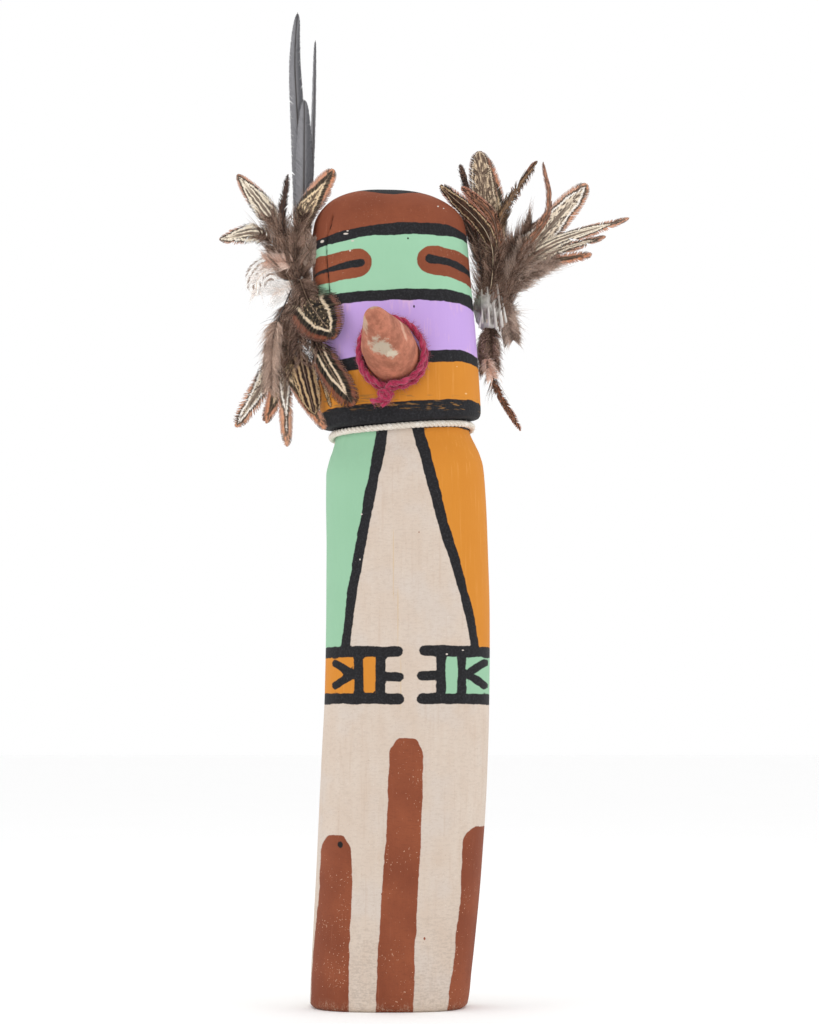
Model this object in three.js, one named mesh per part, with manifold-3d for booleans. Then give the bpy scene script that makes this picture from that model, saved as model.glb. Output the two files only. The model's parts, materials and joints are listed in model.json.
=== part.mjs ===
// A carved and painted cottonwood-root doll that stands on its flat-cut foot: one piece of root with
// a round-topped head, a separate cone snout tied round with wool yarn, a cotton string round the neck,
// and a tuft of pheasant and black tail feathers glued to each side of the head.
// Millimetres. +Z is up, the face looks along -Y, +X is to the right of someone facing the doll.
// The origin is the centre of the foot's flat underside.
import * as THREE from "three";
import { mergeVertices } from "three/addons/utils/BufferGeometryUtils.js";
import Module from "manifold-3d";

const wasm = await Module();
wasm.setup();

// ---- driving dimensions ----
const GAP = 0.3; // clearance kept between pieces that touch
const DEPTH_SHARE = 0.85; // half depth of the root, front to back, over its half width
const SECTION_POWER = 2.7; // squareness of the root's rounded section, 2 being an ellipse
const SECTION_SIDES = 38;

const FOOT_LEVEL = 45; // above this height the sections stand square to the root's own bend
const NECK_ALONG = 221.9;
const NECK_HALF_WIDTH = 26;
const DOME_START = 298.6; // along the root, where the head begins to round over
const DOME_HALF_WIDTH = 30.2;
const DOME_RISE = 17.9;
const DOME_POWER = 2.2;

const SNOUT = { seat: [3.6, -24, 244.2], length: 42, askew: 12.5, lift: 19.2 }; // its two angles in degrees
const YARN = { radius: 1.25, turns: 2, sides: 7, stepsPerTurn: 20 };
const STRING = { radius: 1.3, sides: 7, steps: 38, tail: 14 };

const QUILL_HALF = 0.55;
const RIB_HALF = 0.42; // half thickness of a feather along its rib
const CUP = 0.1; // how far a vane's edges lie behind its rib, over the half width

// The middle line of the naturally bent root, from the foot to the crown: it bows to the right and the
// head leans forward over the neck, then back towards the crown.
const spine = new THREE.CatmullRomCurve3(
  [
    [0.3, 0, 0],
    [4.4, 0, 55],
    [7.2, 0, 112],
    [7.7, 0, 150],
    [6.7, -1, 200],
    [4.9, -3.2, 228],
    [2.9, -3.4, 258],
    [0.8, -1.2, 290],
    [0.4, 0.1, 304],
    [0.7, 1.6, 318],
  ].map((p) => new THREE.Vector3(...p)),
);
const spineLength = spine.getLength();

// Distance along the root and half width there, from the foot to where the dome of the head begins.
const rootOutline = [
  [0, 28.4],
  [1.6, 30.1],
  [14, 30.7],
  [32, 31.2],
  [55, 31.7],
  [90, 32.1],
  [120, 31.9],
  [145, 31.8],
  [175, 31.4],
  [197, 31],
  [206, 30.6],
  [211.4, 29.3],
  [217, 27],
  [220.4, NECK_HALF_WIDTH],
  [223.6, NECK_HALF_WIDTH],
  [224.2, 28],
  [224.8, 30.3],
  [226.6, 31.1],
  [236, 31.3],
  [258, 31.2],
  [280, 30.8],
];

// ---- shared shaping ----

// A closed body through rings of equal count, its first ring capped flat and its last closed to a point.
function loft(rings, apex) {
  const sides = rings[0].length;
  const points = rings.flat();
  const foot = rings[0].reduce((sum, p) => sum.clone().add(p), new THREE.Vector3()).divideScalar(sides);
  points.push(foot, apex);
  const footIndex = points.length - 2;
  const apexIndex = points.length - 1;
  const faces = [];
  for (let ring = 0; ring + 1 < rings.length; ring++) {
    for (let side = 0; side < sides; side++) {
      const a = ring * sides + side;
      const b = ring * sides + ((side + 1) % sides);
      faces.push(a, b, b + sides, a, b + sides, a + sides);
    }
  }
  const last = (rings.length - 1) * sides;
  for (let side = 0; side < sides; side++) {
    const next = (side + 1) % sides;
    faces.push(footIndex, next, side, last + side, last + next, apexIndex);
  }
  const geometry = new THREE.BufferGeometry();
  const places = points.flatMap((p) => p.toArray());
  geometry.setAttribute("position", new THREE.Float32BufferAttribute(places, 3));
  geometry.setIndex(faces);
  return geometry;
}

function toSolid(geometry) {
  const bare = geometry.clone();
  bare.deleteAttribute("normal");
  bare.deleteAttribute("uv");
  const merged = mergeVertices(bare, 1e-4);
  const mesh = new wasm.Mesh({
    numProp: 3,
    vertProperties: new Float32Array(merged.attributes.position.array),
    triVerts: new Uint32Array(merged.index.array),
  });
  return new wasm.Manifold(mesh);
}

function toGeometry(solid) {
  const mesh = solid.getMesh();
  const geometry = new THREE.BufferGeometry();
  geometry.setAttribute("position", new THREE.Float32BufferAttribute(mesh.vertProperties, mesh.numProp));
  geometry.setIndex(Array.from(mesh.triVerts));
  return geometry;
}

function largestBody(solid) {
  const bodies = solid.decompose();
  return bodies.reduce((best, body) => (body.volume() > best.volume() ? body : best));
}

// A round-sectioned strand along a curve.
function strand(curve, radius, sides, steps) {
  const section = new THREE.Shape(
    Array.from({ length: sides }, (_, i) => {
      const turn = (2 * Math.PI * i) / sides;
      return new THREE.Vector2(radius * Math.cos(turn), radius * Math.sin(turn));
    }),
  );
  return toSolid(new THREE.ExtrudeGeometry(section, { steps, extrudePath: curve }));
}

function lump(centre, radii) {
  const ball = new THREE.IcosahedronGeometry(1, 1);
  return toSolid(ball.scale(...radii).translate(...centre.toArray()));
}

const colour = (hex, roughness) => new THREE.MeshStandardMaterial({ color: hex, roughness, metalness: 0 });
const paintedWood = colour(0xe4d6c8, 0.85);
const rustPaint = colour(0xa9603f, 0.8);
const wool = colour(0xa32b50, 0.95);
const cotton = colour(0xeeeae4, 0.9);
const clearGlue = colour(0xd8d4cc, 0.35);
const pheasant = colour(0xa9744a, 0.8);
const blackVane = colour(0x2b2c30, 0.6);
const down = colour(0x7b6a60, 0.95);

const doll = new THREE.Group();

function addPiece(name, geometry, material) {
  const mesh = new THREE.Mesh(geometry, material);
  mesh.name = name;
  doll.add(mesh);
}

// ---- the carved root: body, neck and head in one piece ----

// The place and bend of the root at a distance along it. Near the foot the sections lie level.
function rootFrame(along) {
  const share = THREE.MathUtils.clamp(along / spineLength, 0, 1);
  const centre = spine.getPointAt(share);
  const upright = new THREE.Vector3(0, 0, 1);
  const bend = THREE.MathUtils.clamp(along / FOOT_LEVEL, 0, 1);
  const up = upright.lerp(spine.getTangentAt(share), bend).normalize();
  const across = new THREE.Vector3(up.z, 0, -up.x).normalize();
  const forward = new THREE.Vector3().crossVectors(across, up);
  return { centre, up, across, forward: forward.negate() };
}

function rootSection(along, halfWidth, grow) {
  const frame = rootFrame(along);
  const a = halfWidth + grow;
  const b = halfWidth * DEPTH_SHARE + grow;
  return Array.from({ length: SECTION_SIDES }, (_, i) => {
    const turn = (2 * Math.PI * i) / SECTION_SIDES;
    const c = Math.cos(turn);
    const s = Math.sin(turn);
    const reach =
      (Math.abs(c / a) ** SECTION_POWER + Math.abs(s / b) ** SECTION_POWER) ** (-1 / SECTION_POWER);
    return frame.centre
      .clone()
      .addScaledVector(frame.across, reach * c)
      .addScaledVector(frame.forward, reach * s);
  });
}

function carvedRoot(grow) {
  const rings = rootOutline.map(([along, half]) => rootSection(along, half, grow));
  for (const climb of [0, 14, 27, 40, 53, 65, 76]) {
    const angle = THREE.MathUtils.degToRad(climb);
    const rise = DOME_RISE * Math.sin(angle) ** (2 / DOME_POWER);
    const half = DOME_HALF_WIDTH * Math.cos(angle) ** (2 / DOME_POWER);
    rings.push(rootSection(DOME_START + rise, half, grow));
  }
  const crown = rootFrame(DOME_START + DOME_RISE);
  return loft(rings, crown.centre.addScaledVector(crown.up, grow));
}

// The y of the root's front face under a place on it.
function rootFront(x, z) {
  let along = z;
  for (let tries = 0; tries < 4; tries++) {
    along += z - spine.getPointAt(along / spineLength).z;
  }
  const centre = spine.getPointAt(along / spineLength);
  const row = rootOutline.findIndex(([level]) => level > along);
  const [[from, halfBelow], [to, halfAbove]] = [rootOutline[row - 1], rootOutline[row]];
  const half = THREE.MathUtils.mapLinear(along, from, to, halfBelow, halfAbove);
  const share = Math.min(0.99, Math.abs(x - centre.x) / half);
  return centre.y - half * DEPTH_SHARE * (1 - share ** SECTION_POWER) ** (1 / SECTION_POWER);
}

const keepOut = toSolid(carvedRoot(GAP)); // the root with the clearance that touching pieces keep
addPiece("figure", carvedRoot(0), paintedWood);

// ---- the snout, and the yarn wound round its base ----

const askew = THREE.MathUtils.degToRad(SNOUT.askew);
const lift = THREE.MathUtils.degToRad(SNOUT.lift);
const snoutSeat = new THREE.Vector3(...SNOUT.seat);
const snoutAxis = new THREE.Vector3(
  -Math.sin(askew) * Math.cos(lift),
  -Math.cos(askew) * Math.cos(lift),
  Math.sin(lift),
);

// The snout's radius at shares of its length: a waist for the yarn, a slight bulge, then in to a blunt tip.
const snoutOutline = [
  [0, 10.3],
  [0.18, 10.3],
  [0.36, 10.4],
  [0.52, 9],
  [0.68, 7.2],
  [0.84, 5.3],
  [0.95, 4],
  [0.985, 2.8],
];

function snout() {
  const profile = snoutOutline.map(([share, radius]) => new THREE.Vector2(radius, share * SNOUT.length));
  profile.unshift(new THREE.Vector2(0, 0));
  profile.push(new THREE.Vector2(0, SNOUT.length));
  const turned = new THREE.LatheGeometry(profile, 26);
  const turn = new THREE.Quaternion().setFromUnitVectors(new THREE.Vector3(0, 1, 0), snoutAxis);
  turned.applyQuaternion(turn).translate(...SNOUT.seat);
  return largestBody(toSolid(turned).subtract(keepOut));
}

// A place on the yarn: round the snout by an angle from straight down, at a distance in front of the face.
function onSnoutRing(angle, faceGap, spread) {
  const sideways = new THREE.Vector3().crossVectors(snoutAxis, new THREE.Vector3(0, 0, 1)).normalize();
  const downward = new THREE.Vector3().crossVectors(snoutAxis, sideways);
  const reach = snoutOutline[1][1] + YARN.radius + GAP + spread;
  const out = sideways.multiplyScalar(Math.sin(angle)).addScaledVector(downward, Math.cos(angle));
  const place = snoutSeat.clone().addScaledVector(out, reach);
  const faceHere = rootFront(place.x, place.z);
  return place.addScaledVector(snoutAxis, (faceHere - faceGap - place.y) / snoutAxis.y);
}

// Two turns of yarn lying against the face, tied in a knot under the snout with two short ends.
function snoutYarn() {
  const knot = onSnoutRing(0, 3 * YARN.radius, YARN.radius);
  knot.add(new THREE.Vector3(-2, 0.4, -1.9 * YARN.radius));
  const steps = YARN.turns * YARN.stepsPerTurn;
  const route = Array.from({ length: steps + 1 }, (_, i) => {
    const turnsMade = i / YARN.stepsPerTurn;
    const faceGap = YARN.radius * (1 + 1.7 * turnsMade) + GAP;
    const spread = YARN.radius * (0.6 - 0.22 * turnsMade);
    return onSnoutRing(2 * Math.PI * turnsMade, faceGap, spread);
  });
  route.push(knot);
  const winding = strand(new THREE.CatmullRomCurve3(route), YARN.radius, YARN.sides, steps + 1);
  const ends = [
    [-5.4, 0.6, -2.4],
    [-1.6, -0.8, -4.4],
  ].map((reach) => {
    const far = knot.clone().add(new THREE.Vector3(...reach));
    const middle = knot.clone().lerp(far, 0.5).setY(far.y - 0.8);
    return strand(new THREE.CatmullRomCurve3([knot, middle, far]), YARN.radius * 0.95, 6, 3);
  });
  const tied = ends.reduce((sum, end) => sum.add(end), winding.add(lump(knot, [3, 2.3, 2.3])));
  return largestBody(tied.subtract(keepOut));
}

addPiece("snout", toGeometry(snout()), rustPaint);
addPiece("snout_yarn", toGeometry(snoutYarn()), wool);

// ---- the string round the neck, knotted behind ----

function neckString() {
  const frame = rootFrame(NECK_ALONG);
  const ring = rootSection(NECK_ALONG, NECK_HALF_WIDTH, STRING.radius + GAP);
  const back = ring.findIndex((p) => p.y === Math.max(...ring.map((q) => q.y)));
  const route = ring.map((_, i) => ring[(i + back) % SECTION_SIDES]);
  route.push(route[0].clone().addScaledVector(frame.across, -0.4));
  const loop = strand(new THREE.CatmullRomCurve3(route), STRING.radius, STRING.sides, STRING.steps);
  const knot = route[0].clone().add(new THREE.Vector3(0, STRING.radius * 0.9, 0));
  const ends = [-1, 1].map((way) => {
    const near = knot.clone().add(new THREE.Vector3(2 * way, 3.4, -STRING.tail * 0.3));
    const far = knot.clone().add(new THREE.Vector3(3.4 * way, 5.6, -STRING.tail));
    return strand(new THREE.CatmullRomCurve3([knot, near, far]), STRING.radius * 0.85, 6, 4);
  });
  const tied = ends.reduce((sum, end) => sum.add(end), loop.add(lump(knot, [2.9, 2.2, 2.6])));
  return largestBody(tied.subtract(keepOut));
}

addPiece("neck_string", toGeometry(neckString()), cotton);

// ---- feathers, each with its own place in a tuft ----

// The end of the quill, places on the way and the tip; the vane's full width; what sort of feather it is;
// and the degrees it is turned about its own length, so that it is seen more from its edge.
const feathers = {
  left_black_long: {
    path: [[-34, -7.4, 279], [-35.2, -4.6, 334], [-37, -1.6, 372], [-36, -0.4, 389.2]],
    width: 5.9,
    kind: "tail",
  },
  left_black_middle: {
    path: [[-33.2, -9, 279], [-33, -7.6, 318], [-33, -5.4, 352.6]],
    width: 7.2,
    kind: "tail",
  },
  left_black_thin: {
    path: [[-31.8, -5.8, 280], [-29.6, -2, 338], [-29, 2.4, 378.6]],
    width: 3.4,
    kind: "tail",
    turn: 58,
  },
  left_upright: {
    path: [[-36, -12.6, 279], [-34.4, -14.6, 301], [-21, -18, 322]],
    width: 8.6,
    kind: "bright",
  },
  left_upright_pale: {
    path: [[-32.6, -10.6, 279], [-32.6, -11.8, 301], [-22.6, -13.6, 315.4]],
    width: 5.4,
    kind: "pale",
  },
  left_outward: {
    path: [[-36, -10.4, 279], [-43, -10.4, 300], [-59, -9, 322]],
    width: 8.8,
    kind: "striped",
  },
  left_wisp: {
    path: [[-35, -11.8, 279], [-41, -13.4, 301], [-38.8, -15.4, 320.6]],
    width: 4.4,
    kind: "dark",
    turn: 40,
  },
  left_sideways: {
    path: [[-37.2, -12, 277], [-48.4, -13.4, 297], [-65.4, -15.4, 294.8]],
    width: 8,
    kind: "striped",
  },
  left_curled: {
    path: [[-38.2, -4.4, 273], [-39.2, -3.4, 281], [-45, -2.6, 285.6], [-51, -2, 282], [-51.6, -2, 275]],
    width: 10,
    kind: "white",
  },
  left_cheek_broad: {
    path: [[-34, -15.6, 279], [-30, -25, 268.4], [-19.6, -34.4, 253]],
    width: 18.8,
    kind: "flecked",
  },
  left_cheek_under: {
    path: [[-34.6, -14.4, 277], [-32, -22.4, 263], [-23.8, -31.6, 252.4]],
    width: 9,
    kind: "dark",
  },
  left_cheek_long: {
    path: [[-33, -14, 275], [-27, -26, 252], [-12.8, -34.2, 227.2]],
    width: 11.4,
    kind: "flecked",
  },
  left_cheek_thin: {
    path: [[-33, -12.6, 274], [-27.6, -23, 249], [-21.4, -29.6, 227.2]],
    width: 2.6,
    kind: "dark",
  },
  left_hanging_dark: {
    path: [[-35, -13.4, 272], [-33.4, -19, 249], [-27.8, -22.6, 225.6]],
    width: 10.4,
    kind: "dark",
  },
  left_hanging_rust: {
    path: [[-37, -13, 271], [-37.6, -16, 244], [-23.8, -20.8, 219.8]],
    width: 5.8,
    kind: "bright",
  },
  left_hanging_edge: {
    path: [[-37.2, -11.6, 272], [-38.4, -13.4, 247], [-29.2, -17, 226.4]],
    width: 5,
    kind: "bright",
  },
  left_hanging_fork: {
    path: [[-38.4, -10, 273], [-39.8, -12, 244], [-38.8, -14, 214]],
    width: 5.8,
    kind: "pale",
  },
  left_hanging_cream: {
    path: [[-38, -8.6, 273], [-40, -9.2, 247], [-47.2, -9.4, 223.6]],
    width: 7.4,
    kind: "striped",
  },
  left_hanging_thin: {
    path: [[-38.4, -7.2, 274], [-42, -6.8, 247], [-48.4, -5.8, 225]],
    width: 4,
    kind: "bright",
  },
  left_hanging_outer: {
    path: [[-38.4, -5.8, 275], [-44.6, -4.8, 249], [-59.4, -2.6, 223]],
    width: 8.4,
    kind: "pale",
  },
  left_plume: {
    path: [[-37.4, -15.2, 275], [-43.6, -18.6, 258], [-44.8, -17.8, 236]],
    width: 13,
    kind: "plume",
  },
  right_tall: {
    path: [[39, 0, 264], [38.8, 0, 300], [35.8, -1.4, 333.2]],
    width: 11.2,
    kind: "flecked",
  },
  right_tall_behind: {
    path: [[40.2, 1.8, 264], [42.8, 2.6, 304], [38.6, 4.6, 332]],
    width: 9,
    kind: "bright",
  },
  right_over_head: {
    path: [[38.6, -4.6, 264], [39.8, -8.6, 296], [20.2, -12.4, 317]],
    width: 8.4,
    kind: "bright",
    turn: -42,
  },
  right_over_head_short: {
    path: [[40.2, -3.2, 264], [41.6, -5, 304], [28.6, -7, 317.6]],
    width: 5,
    kind: "bright",
  },
  right_frayed: {
    path: [[38, -1.8, 264], [34.4, -2.6, 304], [28.2, -4, 327.2]],
    width: 3,
    kind: "dark",
  },
  right_beside_head: {
    path: [[37.6, 3.4, 264], [37, 6, 290], [28.4, 9.6, 314.4]],
    width: 6,
    kind: "dark",
  },
  right_olive: {
    path: [[41.2, -2, 264], [43.8, -3.4, 304], [58.6, -6.6, 328]],
    width: 4.8,
    kind: "dark",
  },
  right_rust_bow: {
    path: [[42.4, -3.4, 264], [52, -6.4, 290], [63, -9, 308], [60.6, -11, 326.6]],
    width: 6.4,
    kind: "bright",
    turn: 62,
  },
  right_rounded: {
    path: [[42.4, 0.8, 264], [46.6, 1.4, 283], [60, 2.6, 299], [79, 4.4, 321.2]],
    width: 11.2,
    kind: "pale",
  },
  right_slender: {
    path: [[43.2, -1.8, 263], [46.4, -2.6, 279.6], [59.6, -4, 293], [94.6, -6.6, 305.2]],
    width: 7,
    kind: "striped",
    turn: -30,
  },
  right_split: {
    path: [[43.6, -0.4, 262.4], [46.8, -0.6, 278], [60, -0.8, 290.2], [85.8, -1, 299]],
    width: 5,
    kind: "striped",
  },
  right_low: {
    path: [[43.8, 2.4, 261.6], [46.6, 3, 276], [58, 4.4, 287.8], [80.8, 6.6, 293.4]],
    width: 5.4,
    kind: "pale",
  },
  right_plume_up: {
    path: [[42, 3.8, 271], [47, 5.6, 288], [58, 8.2, 307.4]],
    width: 9,
    kind: "plume",
  },
  right_plume_side: {
    path: [[43, 5.4, 270], [49.6, 7.4, 282], [66.4, 10, 291.6]],
    width: 10,
    kind: "plume",
  },
  right_plume_drooping: {
    path: [[42.2, 6.6, 270.6], [47.8, 9.6, 269], [51.2, 10.6, 257]],
    width: 8.4,
    kind: "plume",
  },
  right_plume_down: {
    path: [[39.4, 5.8, 265], [38.8, 8.6, 255], [38.8, 9.4, 244.6]],
    width: 9,
    kind: "plume",
  },
  right_hanging: {
    path: [[41, 5, 265], [41, 6.4, 244], [52.2, 9, 223]],
    width: 4.6,
    kind: "bright",
    turn: 52,
  },
};
const glueDabs = {
  left_glue: { centre: [-33.4, -9.4, 276.6], radii: [5.4, 6.6, 5.4] },
  right_glue: { centre: [39.4, 1.4, 268.6], radii: [6, 7.6, 6.4] },
};

const vaneShares = [0, 0.1, 0.22, 0.36, 0.5, 0.64, 0.78, 0.9, 0.975];
const kinds = {
  tail: { bare: 11.5, rise: 0.5, close: 0.62, material: blackVane },
  bright: { bare: 11.5, rise: 0.9, close: 0.5, material: pheasant },
  pale: { bare: 11.5, rise: 0.9, close: 0.5, material: pheasant },
  striped: { bare: 11.5, rise: 0.9, close: 0.75, material: pheasant },
  flecked: { bare: 11.5, rise: 0.9, close: 0.42, material: pheasant },
  dark: { bare: 11.5, rise: 0.8, close: 0.6, material: down },
  white: { bare: 6, rise: 0.6, close: 0.4, material: cotton },
  plume: { bare: 5, rise: 0.45, close: 0.4, material: down },
};

// Half width of a vane at a share of its own length: it leaves the quill, rises to the widest place and
// closes in a rounded or pointed tip.
function vaneHalfWidth(along, width, kind) {
  const { rise, close } = kinds[kind];
  const widest = rise / (rise + close);
  const full = widest ** rise * (1 - widest) ** close;
  return QUILL_HALF + (width / 2 - QUILL_HALF) * ((along ** rise * (1 - along) ** close) / full);
}

// Across and facing directions of a feather at a place on its line. It faces forward unless it is turned.
function featherAxes(line, share, turn = 0) {
  const onward = line.getTangentAt(share);
  const across = new THREE.Vector3().crossVectors(onward, new THREE.Vector3(0, -1, 0)).normalize();
  across.applyAxisAngle(onward, THREE.MathUtils.degToRad(turn));
  return { across, facing: new THREE.Vector3().crossVectors(across, onward) };
}

function featherRing(centre, { across, facing }, half, rib) {
  const edgeBack = Math.max(0, half - 1) * CUP;
  return [
    centre.clone().addScaledVector(across, half).addScaledVector(facing, -edgeBack),
    centre.clone().addScaledVector(facing, -rib),
    centre.clone().addScaledVector(across, -half).addScaledVector(facing, -edgeBack),
    centre.clone().addScaledVector(facing, rib),
  ];
}

function featherLine({ path, kind }) {
  const line = new THREE.CatmullRomCurve3(path.map((p) => new THREE.Vector3(...p)));
  return { line, bareShare: kinds[kind].bare / line.getLength() };
}

function feather(spec) {
  const { width, kind, turn } = spec;
  const { line, bareShare } = featherLine(spec);
  const place = (share, half) => {
    const rib = RIB_HALF * (1.1 - 0.7 * share);
    return featherRing(line.getPointAt(share), featherAxes(line, share, turn), half, rib);
  };
  const vane = vaneShares.map((along) =>
    place(bareShare + along * (1 - bareShare), vaneHalfWidth(along, width, kind)),
  );
  const rings = [place(0, QUILL_HALF), ...vane];
  return loft(rings, line.getPointAt(1));
}

// The hole a quill leaves in the glue, its clearance included.
function quillSocket(spec) {
  const { line, bareShare } = featherLine(spec);
  const rings = [0, 0.5, 1].map((step) => {
    const share = bareShare * step;
    const place = line.getPointAt(share).addScaledVector(line.getTangentAt(share), step - 1);
    return featherRing(place, featherAxes(line, share, spec.turn), QUILL_HALF + 0.45, RIB_HALF + 0.5);
  });
  const inner = line.getPointAt(bareShare).addScaledVector(line.getTangentAt(bareShare), 0.4);
  return toSolid(loft(rings, inner));
}

function glueDab(name, { centre, radii }) {
  const side = name.split("_")[0];
  const dab = lump(new THREE.Vector3(...centre), radii).subtract(keepOut);
  const quills = Object.entries(feathers).filter(([key]) => key.startsWith(side));
  return largestBody(quills.reduce((left, [, spec]) => left.subtract(quillSocket(spec)), dab));
}

for (const [name, spec] of Object.entries(glueDabs)) {
  addPiece(name, toGeometry(glueDab(name, spec)), clearGlue);
}
for (const [name, spec] of Object.entries(feathers)) {
  addPiece(name, feather(spec), kinds[spec.kind].material);
}

export default doll;
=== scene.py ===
import json
import math
import bpy
import numpy as np
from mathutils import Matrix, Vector, noise
from mathutils.bvhtree import BVHTree

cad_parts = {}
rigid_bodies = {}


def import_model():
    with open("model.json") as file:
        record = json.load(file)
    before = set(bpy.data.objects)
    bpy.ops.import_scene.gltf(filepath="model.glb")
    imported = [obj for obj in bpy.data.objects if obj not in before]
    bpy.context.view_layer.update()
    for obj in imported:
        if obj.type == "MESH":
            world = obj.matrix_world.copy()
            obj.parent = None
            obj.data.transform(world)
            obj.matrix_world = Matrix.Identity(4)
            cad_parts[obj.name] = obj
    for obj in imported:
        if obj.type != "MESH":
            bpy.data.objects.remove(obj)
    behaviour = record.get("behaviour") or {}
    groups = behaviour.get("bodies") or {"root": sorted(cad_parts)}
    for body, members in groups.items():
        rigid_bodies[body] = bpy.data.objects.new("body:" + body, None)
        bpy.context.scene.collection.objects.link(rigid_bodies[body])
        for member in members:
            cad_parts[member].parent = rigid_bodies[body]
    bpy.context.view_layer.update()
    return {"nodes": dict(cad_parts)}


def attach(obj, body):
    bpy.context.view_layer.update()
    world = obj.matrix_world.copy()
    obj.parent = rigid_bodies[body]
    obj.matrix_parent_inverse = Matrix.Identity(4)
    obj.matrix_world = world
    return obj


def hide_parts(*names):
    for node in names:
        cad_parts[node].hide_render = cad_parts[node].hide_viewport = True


for stray in list(bpy.data.objects):
    bpy.data.objects.remove(stray)
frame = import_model()
scene = bpy.context.scene
mm = 0.001
print("stage 1: frame loaded, 44 nodes expected,", len(frame["nodes"]), "found")

view = {"lens": 90.0, "film": 36.0, "clip": (0.01, 30.0), "place": (0.008385, -0.994291, 0.099630),
        "pitch": 5.2}
light = {
    "sky": 1.0, "aim": (0, 0, 0.2),
    "boxes": [  # place, size and strength of each soft light
        ("leftLight", (-1.1, -0.5, 0.55), 0.9, 2.6), ("rightLight", (1.1, -0.45, 0.5), 0.9, 2.34),
        ("frontLight", (0.25, -1.5, 0.9), 1.0, 0.5), ("topLight", (0.0, 0.1, 1.5), 1.2, 1.4),
    ],
}


def added(name, data):  # a new object in the scene
    thing = bpy.data.objects.new(name, data)
    scene.collection.objects.link(thing)
    return thing


def placeCamera():
    data = bpy.data.cameras.new("camera")
    data.lens, data.sensor_width = view["lens"], view["film"]
    data.clip_start, data.clip_end = view["clip"]
    scene.camera = added("camera", data)
    scene.camera.location = view["place"]
    scene.camera.rotation_euler = (math.radians(90.0 + view["pitch"]), 0.0, 0.0)
    scene.view_settings.view_transform = "Standard"
    scene.view_settings.look = "None"
    scene.cycles.transparent_max_bounces = 32  # down is many thin layers deep


def lightScene():
    world = bpy.data.worlds.new("softSky")
    scene.world = world
    world.use_nodes = True
    sky = world.node_tree.nodes["Background"].inputs
    sky["Color"].default_value = (1.0, 1.0, 1.0, 1.0)
    sky["Strength"].default_value = light["sky"]
    for name, place, size, strength in light["boxes"]:
        data = bpy.data.lights.new(name, "AREA")
        data.shape, data.size, data.energy = "SQUARE", size, strength
        lamp = added(name, data)
        lamp.location = place
        lamp.rotation_euler = (Vector(light["aim"]) - Vector(place)).to_track_quat("-Z", "Y").to_euler()


class Wire:  # one output of a node, in a material or in a geometry tree
    def __init__(self, tree, socket=None):
        self.tree = tree
        self.socket = socket

    def make(self, kind, settings=None, inputs=None, output=0):
        node = self.tree.nodes.new(kind)
        for key, value in (settings or {}).items():
            setattr(node, key, value)
        for key, value in (inputs or {}).items():
            entry = self.openSocket(node.inputs, key)
            if isinstance(value, Wire):
                self.tree.links.new(value.socket, entry)
            else:
                entry.default_value = value
        return Wire(self.tree, self.openSocket(node.outputs, output))

    def openSocket(self, sockets, key):
        if isinstance(key, int):
            return [s for s in sockets if s.enabled][key]
        return next(s for s in sockets if s.enabled and s.name == key)

    def sibling(self, name):
        return Wire(self.tree, self.openSocket(self.socket.node.outputs, name))

    def maths(self, operation, *values, clamp=False):
        settings = {"operation": operation, "use_clamp": clamp}
        return self.make("ShaderNodeMath", settings, dict(enumerate(values)))

    def vector(self, operation, *values):
        inputs = dict(enumerate(values))
        if operation == "SCALE":
            inputs = {"Vector": values[0], "Scale": values[1]}
        return self.make("ShaderNodeVectorMath", {"operation": operation}, inputs)

    def shifted(self, way, reach):  # this place moved along a way
        return self.vector("ADD", self, self.vector("SCALE", way, reach))

    def axis(self, name):
        return self.make("ShaderNodeSeparateXYZ", {}, {"Vector": self}, name)

    def packed(self, x=0.0, y=0.0, z=0.0):
        return self.make("ShaderNodeCombineXYZ", {}, {"X": x, "Y": y, "Z": z})

    def clamped(self):
        return self.maths("MULTIPLY", self, 1.0, clamp=True)

    def size(self):
        return self.maths("ABSOLUTE", self)

    def ramp(self, low, high):  # 0 below low, 1 above high, smooth between
        settings = {"interpolation_type": "SMOOTHSTEP"}
        return self.make("ShaderNodeMapRange", settings, {0: self, 1: low, 2: high, 3: 0.0, 4: 1.0})

    def mixed(self, share, a, b):  # two colours
        settings = {"data_type": "RGBA", "blend_type": "MIX", "clamp_factor": True}
        return self.make("ShaderNodeMix", settings, {0: share, 1: a, 2: b})

    def washed(self, under, mask, levels, depth, *paint):  # a thin coat where the mask is high
        return self.mixed(mask.ramp(*levels) * depth, under, colour(*paint))

    def cloud(self, place, scale, detail=2.0, rough=0.5, output="Fac"):
        inputs = {"Vector": place, "Scale": scale, "Detail": detail, "Roughness": rough}
        return self.make("ShaderNodeTexNoise", {}, inputs, output)


signs = {"add": "ADD", "sub": "SUBTRACT", "mul": "MULTIPLY", "truediv": "DIVIDE", "pow": "POWER"}
for sign, operation in signs.items():  # wires are added, multiplied and so on as plain sums
    setattr(Wire, f"__{sign}__", lambda a, b, kind=operation: a.maths(kind, a, b))
    setattr(Wire, f"__r{sign}__", lambda a, b, kind=operation: a.maths(kind, b, a))


def colour(red, green, blue, lift=1.0):  # screen values 0 to 255, turned into light
    def linear(value):
        value = value / 255.0
        return value / 12.92 if value <= 0.04045 else ((value + 0.055) / 1.055) ** 2.4
    return (linear(red) * lift, linear(green) * lift, linear(blue) * lift, 1.0)


def dulled(tint, share):
    return tuple(c * share for c in tint[:3]) + (1.0,)


def newFinish(name):  # a bare material: a wire to start from, and the place on the piece
    finish = bpy.data.materials.new(name)
    finish.use_nodes = True
    finish.node_tree.nodes.clear()
    pen = Wire(finish.node_tree)
    pen.finish = finish
    return pen, pen.make("ShaderNodeTexCoord", {}, {}, "Object")


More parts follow.
